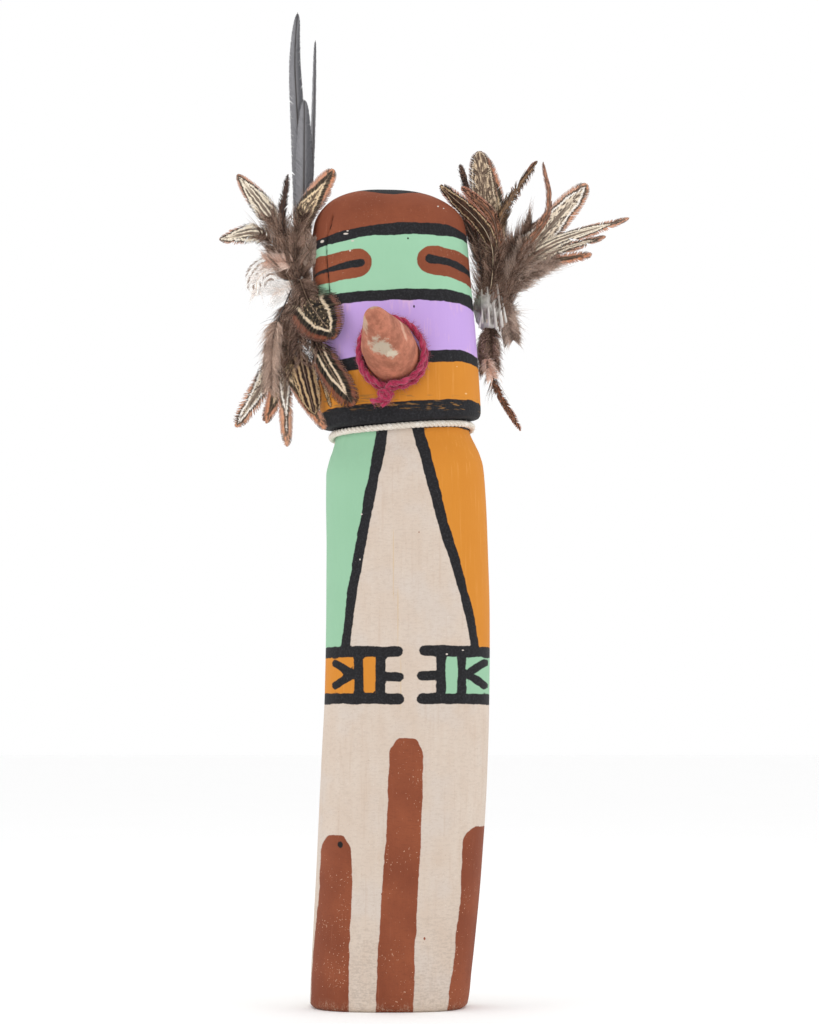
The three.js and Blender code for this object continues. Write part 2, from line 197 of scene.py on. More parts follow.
def dressFinish(pen, base, roughness, normal=None, alpha=None, **others):
    inputs = {"Base Color": base, "Roughness": roughness, "Normal": normal, "Alpha": alpha, **others}
    inputs = {key: value for key, value in inputs.items() if value is not None}
    shader = pen.make("ShaderNodeBsdfPrincipled", {}, inputs)
    out = pen.tree.nodes.new("ShaderNodeOutputMaterial")
    pen.tree.links.new(shader.socket, out.inputs["Surface"])
    return pen.finish


def bumped(pen, height, distance, strength):
    return pen.make("ShaderNodeBump", {}, {"Height": height, "Distance": distance, "Strength": strength})


def pieceValue(pen, name):  # a value stored on the piece's own points
    return pen.make("ShaderNodeAttribute", {"attribute_name": name}, {}, "Fac")


def stretched(pen, place, x, y, z):
    return pen.make("ShaderNodeMapping", {}, {"Vector": place, "Scale": (x, y, z)})


def makeFloor():
    pen, place = newFinish("paleFloor")
    shade = pen.mixed(pen.cloud(place, 4.0, 3.0), (0.97, 0.97, 0.97, 1), (0.985, 0.985, 0.985, 1))
    rows = [-3.0, 1.0, 6.0, 24.0]
    points = [(x * (4 + max(0, y)), y, 0.0) for y in rows for x in (-1, 1)]
    faces = [(2 * i, 2 * i + 1, 2 * i + 3, 2 * i + 2) for i in range(len(rows) - 1)]
    mesh = bpy.data.meshes.new("floor")
    mesh.from_pydata(points, [], faces)
    mesh.materials.append(dressFinish(pen, shade, 0.9))
    added("floor", mesh)


placeCamera()
makeFloor()
lightScene()
print("stage 2: camera, floor and light")


def weldNode(name):  # a CAD node's loose triangles joined at their shared corners
    mesh = frame["nodes"][name].data
    found, places, links = {}, [], {}
    for face in mesh.polygons:
        corners = []
        for index in face.vertices:
            co = mesh.vertices[index].co
            key = tuple(round(value * 1e6) for value in co)
            if key not in found:
                found[key] = len(places)
                places.append(np.array(co, float))
                links[found[key]] = set()
            corners.append(found[key])
        for a in corners:
            links[a].update(b for b in corners if b != a)
    return np.array(places), links


def loftRings(name, sides, near):  # rings from the foot that lies near a place to the far tip
    places, links = weldNode(name)
    poles = [i for i in links if len(links[i]) == sides]
    tip = max(poles, key=lambda i: np.linalg.norm(places[i] - near))
    rings = []
    seen = {tip}
    edge = {tip}
    while edge:
        edge = {j for i in edge for j in links[i]} - seen
        seen |= edge
        if len(edge) == sides:
            rings.append(places[sorted(edge)])
    return rings[::-1], places[tip]


def easySlopes(places, shares):  # gentle slopes that never swing past the given places
    steps = np.diff(shares)[:, None]
    rates = np.diff(places, axis=0) / steps
    slopes = np.zeros_like(places)
    slopes[0], slopes[-1] = rates[0], rates[-1]
    before, after = rates[:-1], rates[1:]
    agree = before * after > 0
    total = np.where(agree, before + after, 1.0)
    slopes[1:-1] = np.where(agree, 2 * before * after / total, 0.0)
    return slopes


def roundSlopes(places, shares):  # slopes of an even curve through given places
    slopes = np.empty_like(places)
    slopes[1:-1] = (places[2:] - places[:-2]) / (shares[2:] - shares[:-2])[:, None]
    slopes[0] = (places[1] - places[0]) / (shares[1] - shares[0])
    slopes[-1] = (places[-1] - places[-2]) / (shares[-1] - shares[-2])
    return slopes


def between(places, shares, wanted, way=roundSlopes):  # a smooth run through given places
    slopes = way(places, shares)
    row = np.clip(np.searchsorted(shares, wanted, side="right") - 1, 0, len(shares) - 2)
    step = (shares[row + 1] - shares[row])[:, None]
    t = ((wanted - shares[row]) / step[:, 0])[:, None]
    a, b = places[row], places[row + 1]
    run = (2 * t**3 - 3 * t**2 + 1) * a + (t**3 - 2 * t**2 + t) * step * slopes[row]
    return run + (3 * t**2 - 2 * t**3) * b + (t**3 - t**2) * step * slopes[row + 1]


def runLength(places):
    return float(np.linalg.norm(np.diff(places, axis=0), axis=1).sum())


def chordShares(places):
    steps = np.linalg.norm(np.diff(places, axis=0), axis=1)
    return np.concatenate([[0], np.cumsum(steps)]) / steps.sum()


def meshPiece(name, places, faces, finish):
    mesh = bpy.data.meshes.new(name)
    mesh.from_pydata([tuple(p) for p in places], [], faces)
    mesh.validate()
    mesh.shade_smooth()
    mesh.materials.append(finish)
    return added(name, mesh)


def storeValues(piece, name, values):  # numbers or directions kept on a piece's points
    values = np.asarray(values, np.float32)
    kind, key = ("FLOAT", "value") if values.ndim == 1 else ("FLOAT_VECTOR", "vector")
    piece.data.attributes.new(name, kind, "POINT").data.foreach_set(key, values.ravel())


def stands(piece, slotName, *nodes):  # the piece takes the place of CAD nodes of the one body
    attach(piece, "root")
    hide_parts(*nodes)


def turnsRound(sides):  # the turn of each point round a ring
    return [2 * math.pi * side / sides for side in range(sides)]


def sheath(count, sides):  # faces of a closed tube of rings with a point at each end
    onward = [(side, (side + 1) % sides) for side in range(sides)]
    last = (count - 1) * sides
    faces = [(a + s, a + n, a + n + sides, a + s + sides) for a in range(0, last, sides) for s, n in onward]
    for s, n in onward:
        faces += [(last + sides, n, s), (last + s, last + n, last + sides + 1)]
    return faces


root = {"columns": 172, "rowStep": 1.25 * mm, "knife": 0.11 * mm, "crackDepth": 1.1 * mm}

# Painted shapes in millimetres, x to the right and z up, as the brush laid them on the front.
bands = {  # lower and upper edges of the black bands round the head, at places across it
    "crown": ([(-30, 291), (-21, 291.7), (-8, 294), (5, 294.5), (24, 294.8), (32, 294.6)],
              [(-30, 294), (-24, 294.8), (-14.5, 297), (4.5, 299.7), (24, 299.4), (32, 297)]),
    "brow": ([(-30, 266.5), (-17.5, 267.7), (4.5, 268.7), (27.5, 268.6), (33, 267.3)],
             [(-30, 271), (-18, 271.8), (4.5, 273), (23.5, 273.4), (33, 272.7)]),
    "cheek": ([(-30, 240), (-13, 241.7), (16, 244.8), (30, 245.6), (35, 245.2)],
              [(-30, 245), (-16, 246.7), (17, 249.5), (27.5, 250.2), (35, 249)]),
    "rim": ([(-40, 217.5), (-20, 218.6), (5, 220), (40, 221.5)],
            [(-30, 227), (-8, 228.8), (4.5, 229.5), (32, 231.2), (36, 230.8)]),
}
armLines = [  # the middles of the black lines that part the arms from the chest
    [(-1.9, 222), (-2.2, 218.2), (-3.5, 210.2), (-5.2, 201.7), (-7.4, 190), (-9.4, 179.9), (-12.9, 160.6),
     (-14.6, 148.3), (-15.8, 137)],
    [(11.2, 222), (11.9, 218.2), (13.8, 211.8), (16.1, 203.2), (21, 183.8), (25.9, 168.3), (31, 149.9),
     (33.4, 137)],
]
eyes = [
    {"middle": [(-34, 282), (-22, 282), (-11.6, 283.4)], "half": 5.7},
    {"middle": [(16.9, 284.7), (25, 284.2), (36, 281.2)], "half": 5.6},
]
slits = [
    {"middle": [(-10.2, 283.4), (-18, 282.3), (-28, 280.8)], "half": (1.65, 0.6)},
    {"middle": [(15.9, 285.2), (23.4, 284.5), (33, 281.6)], "half": (1.6, 1.15)},
]
legStripes = [
    {"middle": [(-19.4, 59.5), (-19.5, 45), (-21.2, 21), (-22, -3)], "half": (5.9, 7.6)},
    {"middle": [(-21.2, 63.0), (-17.8, 63.1)], "half": 2.6},
    {"middle": [(7, 95.6), (6.9, 80), (5.4, 55), (3.4, 22), (2.7, -3)], "half": (6.4, 7)},
    {"middle": [(5.2, 99.8), (9.4, 99.6)], "half": 2.6},
    {"middle": [(35.4, 62), (35.2, 40), (34, 22), (32, -3)], "half": (6.9, 9.8)},
]
handBars = [  # ends of each straight stroke and its half width
    ((-40, 134.9), (4, 134.7), 2.05), ((-40, 117.4), (4.3, 116.9), 2.05),
    ((-2, 125.4), (4.6, 125.2), 1.7), ((-10.9, 133), (-10.8, 118), 1.75),
    ((-2.5, 133), (-2.6, 118), 1.8), ((-19.9, 130.6), (-13.6, 126.6), 1.45),
    ((-19.9, 122.2), (-13.6, 125.6), 1.4), ((-15.4, 126), (-11, 126), 1.2),
    ((14, 135), (42, 135), 2.05), ((13.2, 117), (42, 117), 2.0),
    ((12.9, 125.7), (19, 125.8), 1.9), ((20.3, 133), (20.3, 118), 1.85),
    ((28.2, 133), (28.2, 118), 1.7), ((30.8, 126.8), (36.9, 130.8), 1.55),
    ((31, 126), (36.9, 122.3), 1.5),
]
paintedTo = {  # heights where paint begins and ends, and how far a colour runs under its bands
    "headFoot": 223.0, "crown": 300.0, "collar": 221, "armTop": 222, "armFoot": 136, "lineFoot": 135.0,
    "handTop": 134, "handFoot": 118, "under": 1.3,
}
crackLine = [(-21.4, 303), (-22.3, 299), (-23.6, 295.6), (-24, 289.8), (-23.7, 284), (-23, 277),
             (-22.6, 272)]


def strokeGap(x, z, middle, half):  # distance outside a brushed stroke; its half width may taper
    first, last = half if isinstance(half, tuple) else (half, half)
    best = np.full_like(x, 1e3)
    lengths = [math.dist(a, b) for a, b in zip(middle, middle[1:])]
    gone = 0.0
    for (a, b), length in zip(zip(middle, middle[1:]), lengths):
        t = ((x - a[0]) * (b[0] - a[0]) + (z - a[1]) * (b[1] - a[1])) / length**2
        t = np.clip(t, 0, 1)
        reach = np.hypot(x - a[0] - t * (b[0] - a[0]), z - a[1] - t * (b[1] - a[1]))
        share = (gone + t * length) / sum(lengths)
        best = np.minimum(best, reach - (first + share * (last - first)))
        gone += length
    return best


def levelAt(values, points):  # a level read off at places across, easing between given ones
    xs, ys = zip(*points)
    return np.interp(values, xs, ys)


def bandGap(x, z, lower, upper):
    return np.maximum(levelAt(x, lower) - z, z - levelAt(x, upper))


def nearest(*gaps):
    return np.minimum.reduce(gaps)


def within(*gaps):  # the part that several areas share
    return np.maximum.reduce(gaps)


def paintGaps(x, y, z, middleY):  # distance in millimetres outside each paint's area
    backing = y - middleY
    onFront = backing - 6.0
    off = (x - 1) / 28
    crownEdge = backing + 20.5 - 27 * off**2 - 13 * off**4  # black shows along the crown
    headBack = within(paintedTo["headFoot"] - z, -(backing + 8.2 - ((x - 5) / 21) ** 2 * 11))
    rings = [bandGap(x, z, lower, upper) for lower, upper in bands.values()]
    lines = nearest(*[strokeGap(x, z, line, (2.2, 1.65)) for line in armLines])
    bars = nearest(*[strokeGap(x, z, [a, b], half) for a, b, half in handBars])
    strokes = nearest(within(lines, paintedTo["lineFoot"] - z, backing - 2), within(bars, onFront))
    cuts = nearest(*[strokeGap(x, z, **slit) for slit in slits])
    black = nearest(headBack, within(paintedTo["crown"] - z, -crownEdge), within(cuts, backing - 3),
                    within(strokes, z - paintedTo["collar"]), *rings)
    brown = nearest(*[strokeGap(x, z, **area) for area in eyes + legStripes])
    brown = nearest(levelAt(x, bands["crown"][1]) - 1.2 - z, within(brown, backing - 4))
    leftArm, rightArm = (levelAt(-z, [(-b, a) for a, b in line]) for line in armLines)
    arms = within(z - paintedTo["armTop"], paintedTo["armFoot"] - z, onFront)
    hands = within(z - paintedTo["handTop"], paintedTo["handFoot"] - z, onFront)

    def fill(below, above):  # between two of the bands round the head
        low, high = levelAt(x, bands[below][1]), levelAt(x, bands[above][0])
        return within(low - paintedTo["under"] - z, z - high - paintedTo["under"])

    return {
        "blackPaint": black, "brownPaint": brown, "purplePaint": fill("cheek", "brow"),
        "greenPaint": nearest(fill("brow", "crown"), within(x - leftArm, arms), within(hands, 20.3 - x)),
        "ochrePaint": nearest(fill("rim", "cheek"), within(rightArm - x, arms), within(hands, x + 2.6)),
    }


def crackColumn(ring):  # the place round the ring where the crack runs, as a column number
    front = [(abs(p[0] + 23.4 * mm), i) for i, p in enumerate(ring) if p[1] < np.mean(ring[:, 1])]
    return min(front)[1]


def rootGrid():
    rings, crown = loftRings("figure", 38, np.zeros(3))
    for i, ring in enumerate(rings):
        middle = ring.mean(axis=0)
        rings[i] = ring[np.argsort(np.arctan2(ring[:, 1] - middle[1], ring[:, 0] - middle[0]))]
    rings = np.array(rings)
    for i in range(1, len(rings)):  # keeps every column running straight up
        turns = [np.roll(rings[i], k, axis=0) for k in (-1, 0, 1)]
        rings[i] = min(turns, key=lambda turn: np.linalg.norm(turn - rings[i - 1]))
    sides = rings.shape[1]
    even = np.linspace(0, sides, root["columns"], endpoint=False)
    closeBy = np.linspace(-0.85, 0.85, 31)  # finer columns where the crack runs
    extra = crackColumn(rings[-9]) + closeBy
    columns = np.unique(np.round(np.concatenate([even, extra % sides]), 3))
    shares = np.arange(-2, sides + 3, dtype=float)
    turned = [between(np.concatenate([ring[-2:], ring, ring[:3]]), shares, columns) for ring in rings]
    turned = np.array(turned + [np.tile(crown, (len(columns), 1))])
    middles = np.concatenate([rings.mean(axis=1), crown[None]])
    heights = np.concatenate([[0], np.cumsum(np.linalg.norm(np.diff(turned, axis=0), axis=2).max(axis=1))])
    rows = []
    for low, high in zip(heights, heights[1:]):
        rows += list(np.linspace(low, high, max(2, math.ceil((high - low) / root["rowStep"])) + 1)[:-1])
    rows = np.array(rows)
    grid = [between(turned[:, c], heights, rows, easySlopes) for c in range(len(columns))]
    return np.stack(grid, axis=1), between(middles, heights, rows), crown


def carvingRelief(grid, outward):  # long knife flats, shallow hollows and the cuts under the head
    moved = grid.copy()
    for i in range(grid.shape[0]):
        for j in range(grid.shape[1]):
            p = Vector(grid[i, j])
            long = noise.noise(Vector((p.x * 90, p.y * 90, p.z * 9)))
            small = noise.noise(Vector((p.x * 260 + 7, p.y * 260, p.z * 60)))
            moved[i, j] += outward[i, j] * (long * root["knife"] * 2.2 + small * root["knife"] * 0.5)
            if 0.2105 < p.z < 0.2235:  # short cuts in the undercut neck
                notch = noise.noise(Vector((p.x * 420, p.y * 420, p.z * 180 + 3)))
                moved[i, j] += outward[i, j] * notch * 0.22 * mm
    moved[0, :, 2] = 0.0
    return moved


def carveRoot():
    grid, middleRun, crown = rootGrid()
    outward = grid - middleRun[:, None]
    outward[:, :, 2] *= 0.25
    outward[-6:] += np.array([0, 0, 0.05])
    outward /= np.linalg.norm(outward, axis=2, keepdims=True)
    grid = carvingRelief(grid, outward)
    x, z = grid[:, :, 0] / mm, grid[:, :, 2] / mm
    front = grid[:, :, 1] < middleRun[:, None, 1]
    crackGap = strokeGap(x, z, crackLine, (0.04, 0.12)) + 0.07 * np.sin(z * 1.3) + 0.05 * np.sin(z * 3.1)
    far = 50
    crackGap = np.where(front, np.maximum(crackGap, 0), far)
    grid -= outward * (root["crackDepth"] * np.exp(-((crackGap / 0.3) ** 2)))[:, :, None]
    rows, sides = grid.shape[:2]
    places = np.concatenate([grid.reshape(-1, 3), [middleRun[0] * [1, 1, 0]], [crown]])
    piece = meshPiece("carved_root", places, sheath(rows, sides), paintFinish())
    middleY = np.concatenate([np.repeat(middleRun[:, 1], sides), [0, crown[1]]]) / mm
    values = paintGaps(*(places / mm).T, middleY)
    values["crackGap"] = np.concatenate([crackGap.ravel(), [far, far]])
    for name, numbers in values.items():
        storeValues(piece, name, numbers)
    stands(piece, "painted_wood", "figure")
    return piece


paints = {
    "kaolin": colour(209, 195, 182), "green": colour(153, 198, 166), "purple": colour(192, 160, 219),
    "ochre": colour(207, 134, 47), "brown": colour(137, 73, 49), "black": colour(22, 21, 23),
    "bareWood": colour(226, 205, 176), "dust": colour(206, 196, 186), "rosy": colour(226, 186, 206),
    "crack": colour(30, 20, 16), "blackDot": colour(28, 26, 26), "stain": colour(204, 180, 148),
    "ochreDust": colour(224, 180, 122),
}
spots = [  # x, z, half width, half height in millimetres, and the paint that shows there
    (-16, 295.2, 0.9, 0.35, "dust"), (-25.3, 293.4, 0.7, 0.5, "dust"), (19.4, 306.8, 0.35, 0.3, "dust"),
    (21.6, 306.2, 0.25, 0.2, "dust"), (7.8, 293.0, 0.35, 0.4, "blackDot"), 
    (10.1, 266.2, 0.4, 0.6, "blackDot"),
    (-17.8, 62.4, 1.1, 1.3, "blackDot"), (-14.4, 288.4, 0.4, 0.4, "dust"),
    (-13.4, 292.2, 0.6, 0.3, "dust"), (14, 27.5, 0.35, 0.5, "brown"), (-2, 44, 0.3, 0.4, "brown"),
    (26.5, 243.6, 0.3, 0.2, "ochreDust"), (30.0, 233.5, 0.4, 0.25, "ochreDust"), 
    (12, 180, 0.25, 0.5, "brown"),
    (22.5, 133.8, 0.4, 0.3, "dust"), (28.6, 135.4, 0.4, 0.2, "dust"),
    (-9.8, 187, 0.4, 0.4, "dust"), (2.3, 170, 0.24, 13, "stain"), (4.0, 147, 0.22, 12, "stain"),
    (5.1, 124, 0.24, 14, "stain"), (-10.4, 169.8, 0.22, 0.3, "dust"), (-15.4, 296.3, 0.5, 0.3, "dust"),
]


def spotMask(pen, x, z, spot, wobble):
    across = (x - spot[0]) / spot[2]
    up = (z - spot[1]) / spot[3]
    reach = (across * across + up * up) ** 0.5 + wobble
    return 1 - reach.ramp(0.75, 1.15)


def paintFinish():
    pen, place = newFinish("paintedRoot")
    x, z = place.axis("X") * 1000, place.axis("Z") * 1000
    grain = pen.cloud(stretched(pen, place, 1.0, 1.0, 0.045), 900.0, 4.0, 0.65)
    broadGrain = pen.cloud(stretched(pen, place, 1.0, 1.0, 0.08), 260.0, 3.0, 0.55)
    weave = pen.cloud(stretched(pen, place, 0.3, 0.3, 1.0), 1500.0, 2.0, 0.6)
    streak = pen.cloud(stretched(pen, place, 0.16, 0.16, 1.0), 1100.0, 3.0, 0.6)
    edge = (pen.cloud(place, 130.0) - 0.5) * 1.3 + (pen.cloud(place, 480.0) - 0.5) * 0.5
    edge = edge + (pen.cloud(place, 1700.0, 1.0) - 0.5) * 0.14
    broad = pen.cloud(place, 48.0, 3.0)
    patch = pen.cloud(place, 75.0, 3.0, 0.55)
    brush = pen.cloud(place, 1300.0, 3.0, 0.7)
    speck = pen.cloud(place, 1500.0, 1.0)
    onFront = 1 - place.axis("Y").ramp(-0.004, -0.003)

    def laid(name, under, paint, rub=0.0):  # a brushed coat over what is under it
        cover = 1 - (pieceValue(pen, name) + edge).ramp(-0.16, 0.2)
        if rub:
            worn = ((grain - 0.5) * 0.8 + brush * 0.6 + patch * 0.35).ramp(1.16 - rub, 1.4 - rub)
            cover = cover * (1 - worn * 0.85)
        return pen.mixed(cover, under, paint)

    def toned(name, depth, *warm):  # cloudy paint with the grain in it
        share = ((patch - 0.5) * 1.6 + (broadGrain - 0.5) * 1.1 + 0.5).clamped() * depth
        paint = paints[name]
        return pen.mixed(share, paint, tuple(a * b for a, b in zip(paint, warm + (1,))))

    def spotted(shade, share, isStain):  # chips, specks and stains at their places
        for spot in spots:
            if (spot[4] == "stain") == isStain:
                shade = pen.mixed(spotMask(pen, x, z, spot, edge) * share, shade, paints[spot[4]])
        return shade

    kaolin = toned("kaolin", 1.0, 0.93, 0.88, 0.84)
    kaolin = pen.washed(kaolin, broad, (0.5, 0.66), 0.5, 204, 194, 186)
    kaolin = pen.washed(kaolin, grain, (0.53, 0.7), 0.24, 186, 160, 140)
    kaolin = pen.washed(kaolin, brush * 0.6 + weave * 0.5, (0.52, 0.66), 0.38, 184, 166, 151)
    kaolin = pen.washed(kaolin, brush, (0.56, 0.72), 0.35, 236, 226, 217)
    kaolin = spotted(kaolin, 0.7, True)
    kaolin = pen.washed(kaolin, speck, (0.74, 0.8), 0.4, 150, 112, 88)
    # painted shade: the white paint darkens in streaks towards the foot, where less light falls
    low = 1 - (z + (broad - 0.5) * 60).ramp(2.0, 46.0)
    kaolin = pen.washed(kaolin, brush * 0.5 + weave * 0.5, (0.4, 0.62), low * 0.4, 160, 146, 134)
    green = toned("green", 0.55, 0.9, 0.93, 0.9)
    green = pen.mixed((1 - z.ramp(215, 225)) * 0.34, green, colour(136, 174, 143))
    purple = toned("purple", 0.5, 0.92, 0.9, 0.97)
    rosy = ((patch - 0.5) * 1.3 + (grain - 0.5) * 0.9 + 0.42).ramp(0.46, 0.8) * 0.62
    purple = pen.mixed(rosy, purple, paints["rosy"])
    ochre = toned("ochre", 0.6, 0.93, 0.88, 0.78)
    ochre = pen.washed(ochre, grain, (0.56, 0.75), 0.25, 233, 172, 96)
    brown = toned("brown", 0.7, 0.86, 0.82, 0.78)
    lighter = ((broad - 0.5) * 2.6 + (patch - 0.5) * 1.6 + 0.4).clamped()
    brown = pen.mixed(lighter * 0.45, brown, colour(156, 88, 58))
    # random darker patches in the brown, and painted shade that darkens it towards the foot
    darkerAndFootShade = ((0.5 - broad) * 2.6 + (grain - 0.5) * 0.8 + 0.6 - (z * 0.012).clamped() * 0.2).clamped()
    brown = pen.mixed(darkerAndFootShade * 0.5, brown, colour(112, 56, 36))
    brown = pen.washed(brown, grain, (0.56, 0.8), 0.3, 176, 112, 84)
    brown = pen.washed(brown, weave, (0.5, 0.7), 0.3, 118, 62, 42)
    chips = speck + (patch - 0.5) * 0.4 + (brush - 0.5) * 0.2
    brown = pen.washed(brown, chips, (0.72, 0.77), 0.7 - z.ramp(100, 110) * 0.5, 206, 164, 138)
    black = pen.washed(paints["black"], brush, (0.4, 0.74), 0.5, 60, 60, 64)
    black = pen.mixed(((broadGrain - 0.5) * 1.5 + 0.5).clamped() * 0.25, black, colour(50, 50, 54))
    black = pen.washed(black, speck, (0.72, 0.78), 0.3, 104, 102, 100)

    shade = kaolin
    for name, paint in {"green": green, "purple": purple, "ochre": ochre, "brown": brown}.items():
        shade = laid(name + "Paint", shade, paint)
    shade = laid("blackPaint", shade, black, 0.05)
    rimEdge = (z - 226).ramp(0, 1.5) * (1 - (z - 231.5).ramp(0, 1.5)) * onFront
    shade = pen.washed(shade, streak * 0.8 + patch * 0.4, (0.64, 0.74), rimEdge * 0.75, 150, 108, 58)
    foot = (1 - (z + (patch - 0.5) * 14).ramp(0.5, 5.0)) * (brush * 0.6 + grain * 0.5).ramp(0.5, 0.75)
    shade = pen.mixed(foot * 0.35, shade, paints["bareWood"])
    shade = spotted(shade, onFront, False)
    shade = pen.mixed(1 - pieceValue(pen, "crackGap").ramp(0.06, 0.26), shade, paints["crack"])
    height = grain * 0.5 + broadGrain * 0.35 + brush * 0.25
    return dressFinish(pen, shade, 0.78 + (brush - 0.5) * 0.16, bumped(pen, height, 0.00022, 0.55),
                       **{"Specular IOR Level": 0.22})


carvedRoot = carveRoot()
print("stage 3: carved root,", len(carvedRoot.data.polygons), "faces")


snout = {
    "seat": (3.6, -24.0, 244.2), "length": 42.0, "askew": 12.5, "lift": 19.2, "sides": 56, "rows": 44,
    "radii": [(0.0, 10.3), (0.18, 10.3), (0.36, 10.4), (0.52, 9.0), (0.68, 7.2), (0.84, 5.3), (0.95, 4.0),
              (0.985, 2.8), (1.0, 0.0)],
    "rubsAndHighlights": [  # where paint is rubbed off, and painted highlights: x, z, half width, half height, lean, depth and tint
        (-1.6, 247.2, 4.4, 3.4, 0.8, 0.85, (182, 172, 152)),
        (1.6, 245.0, 2.2, 1.2, -0.6, 0.7, (206, 194, 172)),
        (5.9, 254.6, 0.6, 3.6, 0.3, 0.7, (212, 166, 142)),
        (-8.0, 254.4, 1.1, 3.2, 0.3, 0.8, (184, 158, 136)),
        (-5.6, 261.2, 2.4, 1.3, 0.0, 0.8, (172, 152, 128)),
    ],
}
askew, lift = math.radians(snout["askew"]), math.radians(snout["lift"])
snoutAxis = Vector((-math.sin(askew) * math.cos(lift), -math.cos(askew) * math.cos(lift), math.sin(lift)))
snoutSeat = Vector(snout["seat"]) * mm
snoutSide = snoutAxis.cross(Vector((0, 0, 1))).normalized()
snoutDown = snoutAxis.cross(snoutSide)
rootSurface = BVHTree.FromPolygons([v.co.copy() for v in carvedRoot.data.vertices],
                                   [tuple(f.vertices) for f in carvedRoot.data.polygons])


def snoutFinish():
    pen, place = newFinish("rustSnout")
    grain = pen.cloud(stretched(pen, place, 1.0, 0.25, 1.0), 900.0, 4.0, 0.65)
    patch = pen.cloud(place, 210.0, 4.0, 0.6)
    brush = pen.cloud(place, 1100.0, 3.0, 0.65)
    x, z = place.axis("X") * 1000, place.axis("Z") * 1000
    shade = pen.mixed(patch.ramp(0.32, 0.66), colour(188, 116, 90), colour(146, 86, 64))
    shade = pen.washed(shade, brush, (0.5, 0.78), 0.55, 196, 132, 102)
    # pale patches on the snout: partly paint rubbed off, partly painted highlights
    for cx, cz, wide, high, lean, depth, tint in snout["rubsAndHighlights"]:
        across = ((x - cx) + (z - cz) * lean) / wide
        up = (z - cz) / high
        reach = (across * across + up * up) ** 0.5 + (patch - 0.5) * 2.6 + (brush - 0.5) * 1.2
        shade = pen.mixed((1 - reach.ramp(0.55, 1.1)) * depth, shade, colour(*tint))
    shade = pen.washed(shade, pen.cloud(place, 1900.0, 1.0), (0.7, 0.76), 0.5, 98, 54, 40)
    height = grain * 0.5 + brush * 0.4
    return dressFinish(pen, shade, 0.72 + (patch - 0.5) * 0.2, bumped(pen, height, 0.0002, 0.5))


def snoutRadius(share):
    shares, radii = (np.array(values) for values in zip(*snout["radii"]))
    return float(between(radii[:, None], shares, np.array([share]), easySlopes)[0, 0]) * mm


def carveSnout():
    length = snout["length"] * mm
    sides, rows = snout["sides"], snout["rows"]
    places = []
    for row in range(rows):
        made = 1 - (1 - row / (rows - 1)) ** 1.25
        share = 0.3 + 0.7 * made * 0.9985  # from inside the face, with closer rows at the tip
        for turn in turnsRound(sides):
            out = snoutSide * math.cos(turn) + snoutDown * math.sin(turn)
            facets = 0.22 * abs(math.sin(3.5 * turn + 0.6 + share)) + 0.1 * math.sin(2 * turn + 1.1)
            radius = snoutRadius(share) * (1 + 0.035 * (facets - 0.12))
            place = snoutSeat + snoutAxis * (length * share) + out * radius
            place += out * noise.noise(place * 160) * 0.14 * mm
            if row == 0:
                hit = rootSurface.ray_cast(place, -snoutAxis)
                if hit[0] is not None:
                    place = hit[0] + snoutAxis * 0.12 * mm
            places.append(place)
    first = places[:sides]
    eased = 7  # rows that ease the sides down on to the face
    for row in range(1, eased):
        for side in range(sides):
            places[row * sides + side] = first[side].lerp(places[eased * sides + side], row / eased)
    places += [sum(first, Vector()) / sides, snoutSeat + snoutAxis * length]
    piece = meshPiece("carved_snout", places, sheath(rows, sides), snoutFinish())
    stands(piece, "rust_paint", "snout")


carveSnout()
print("stage 4: snout")


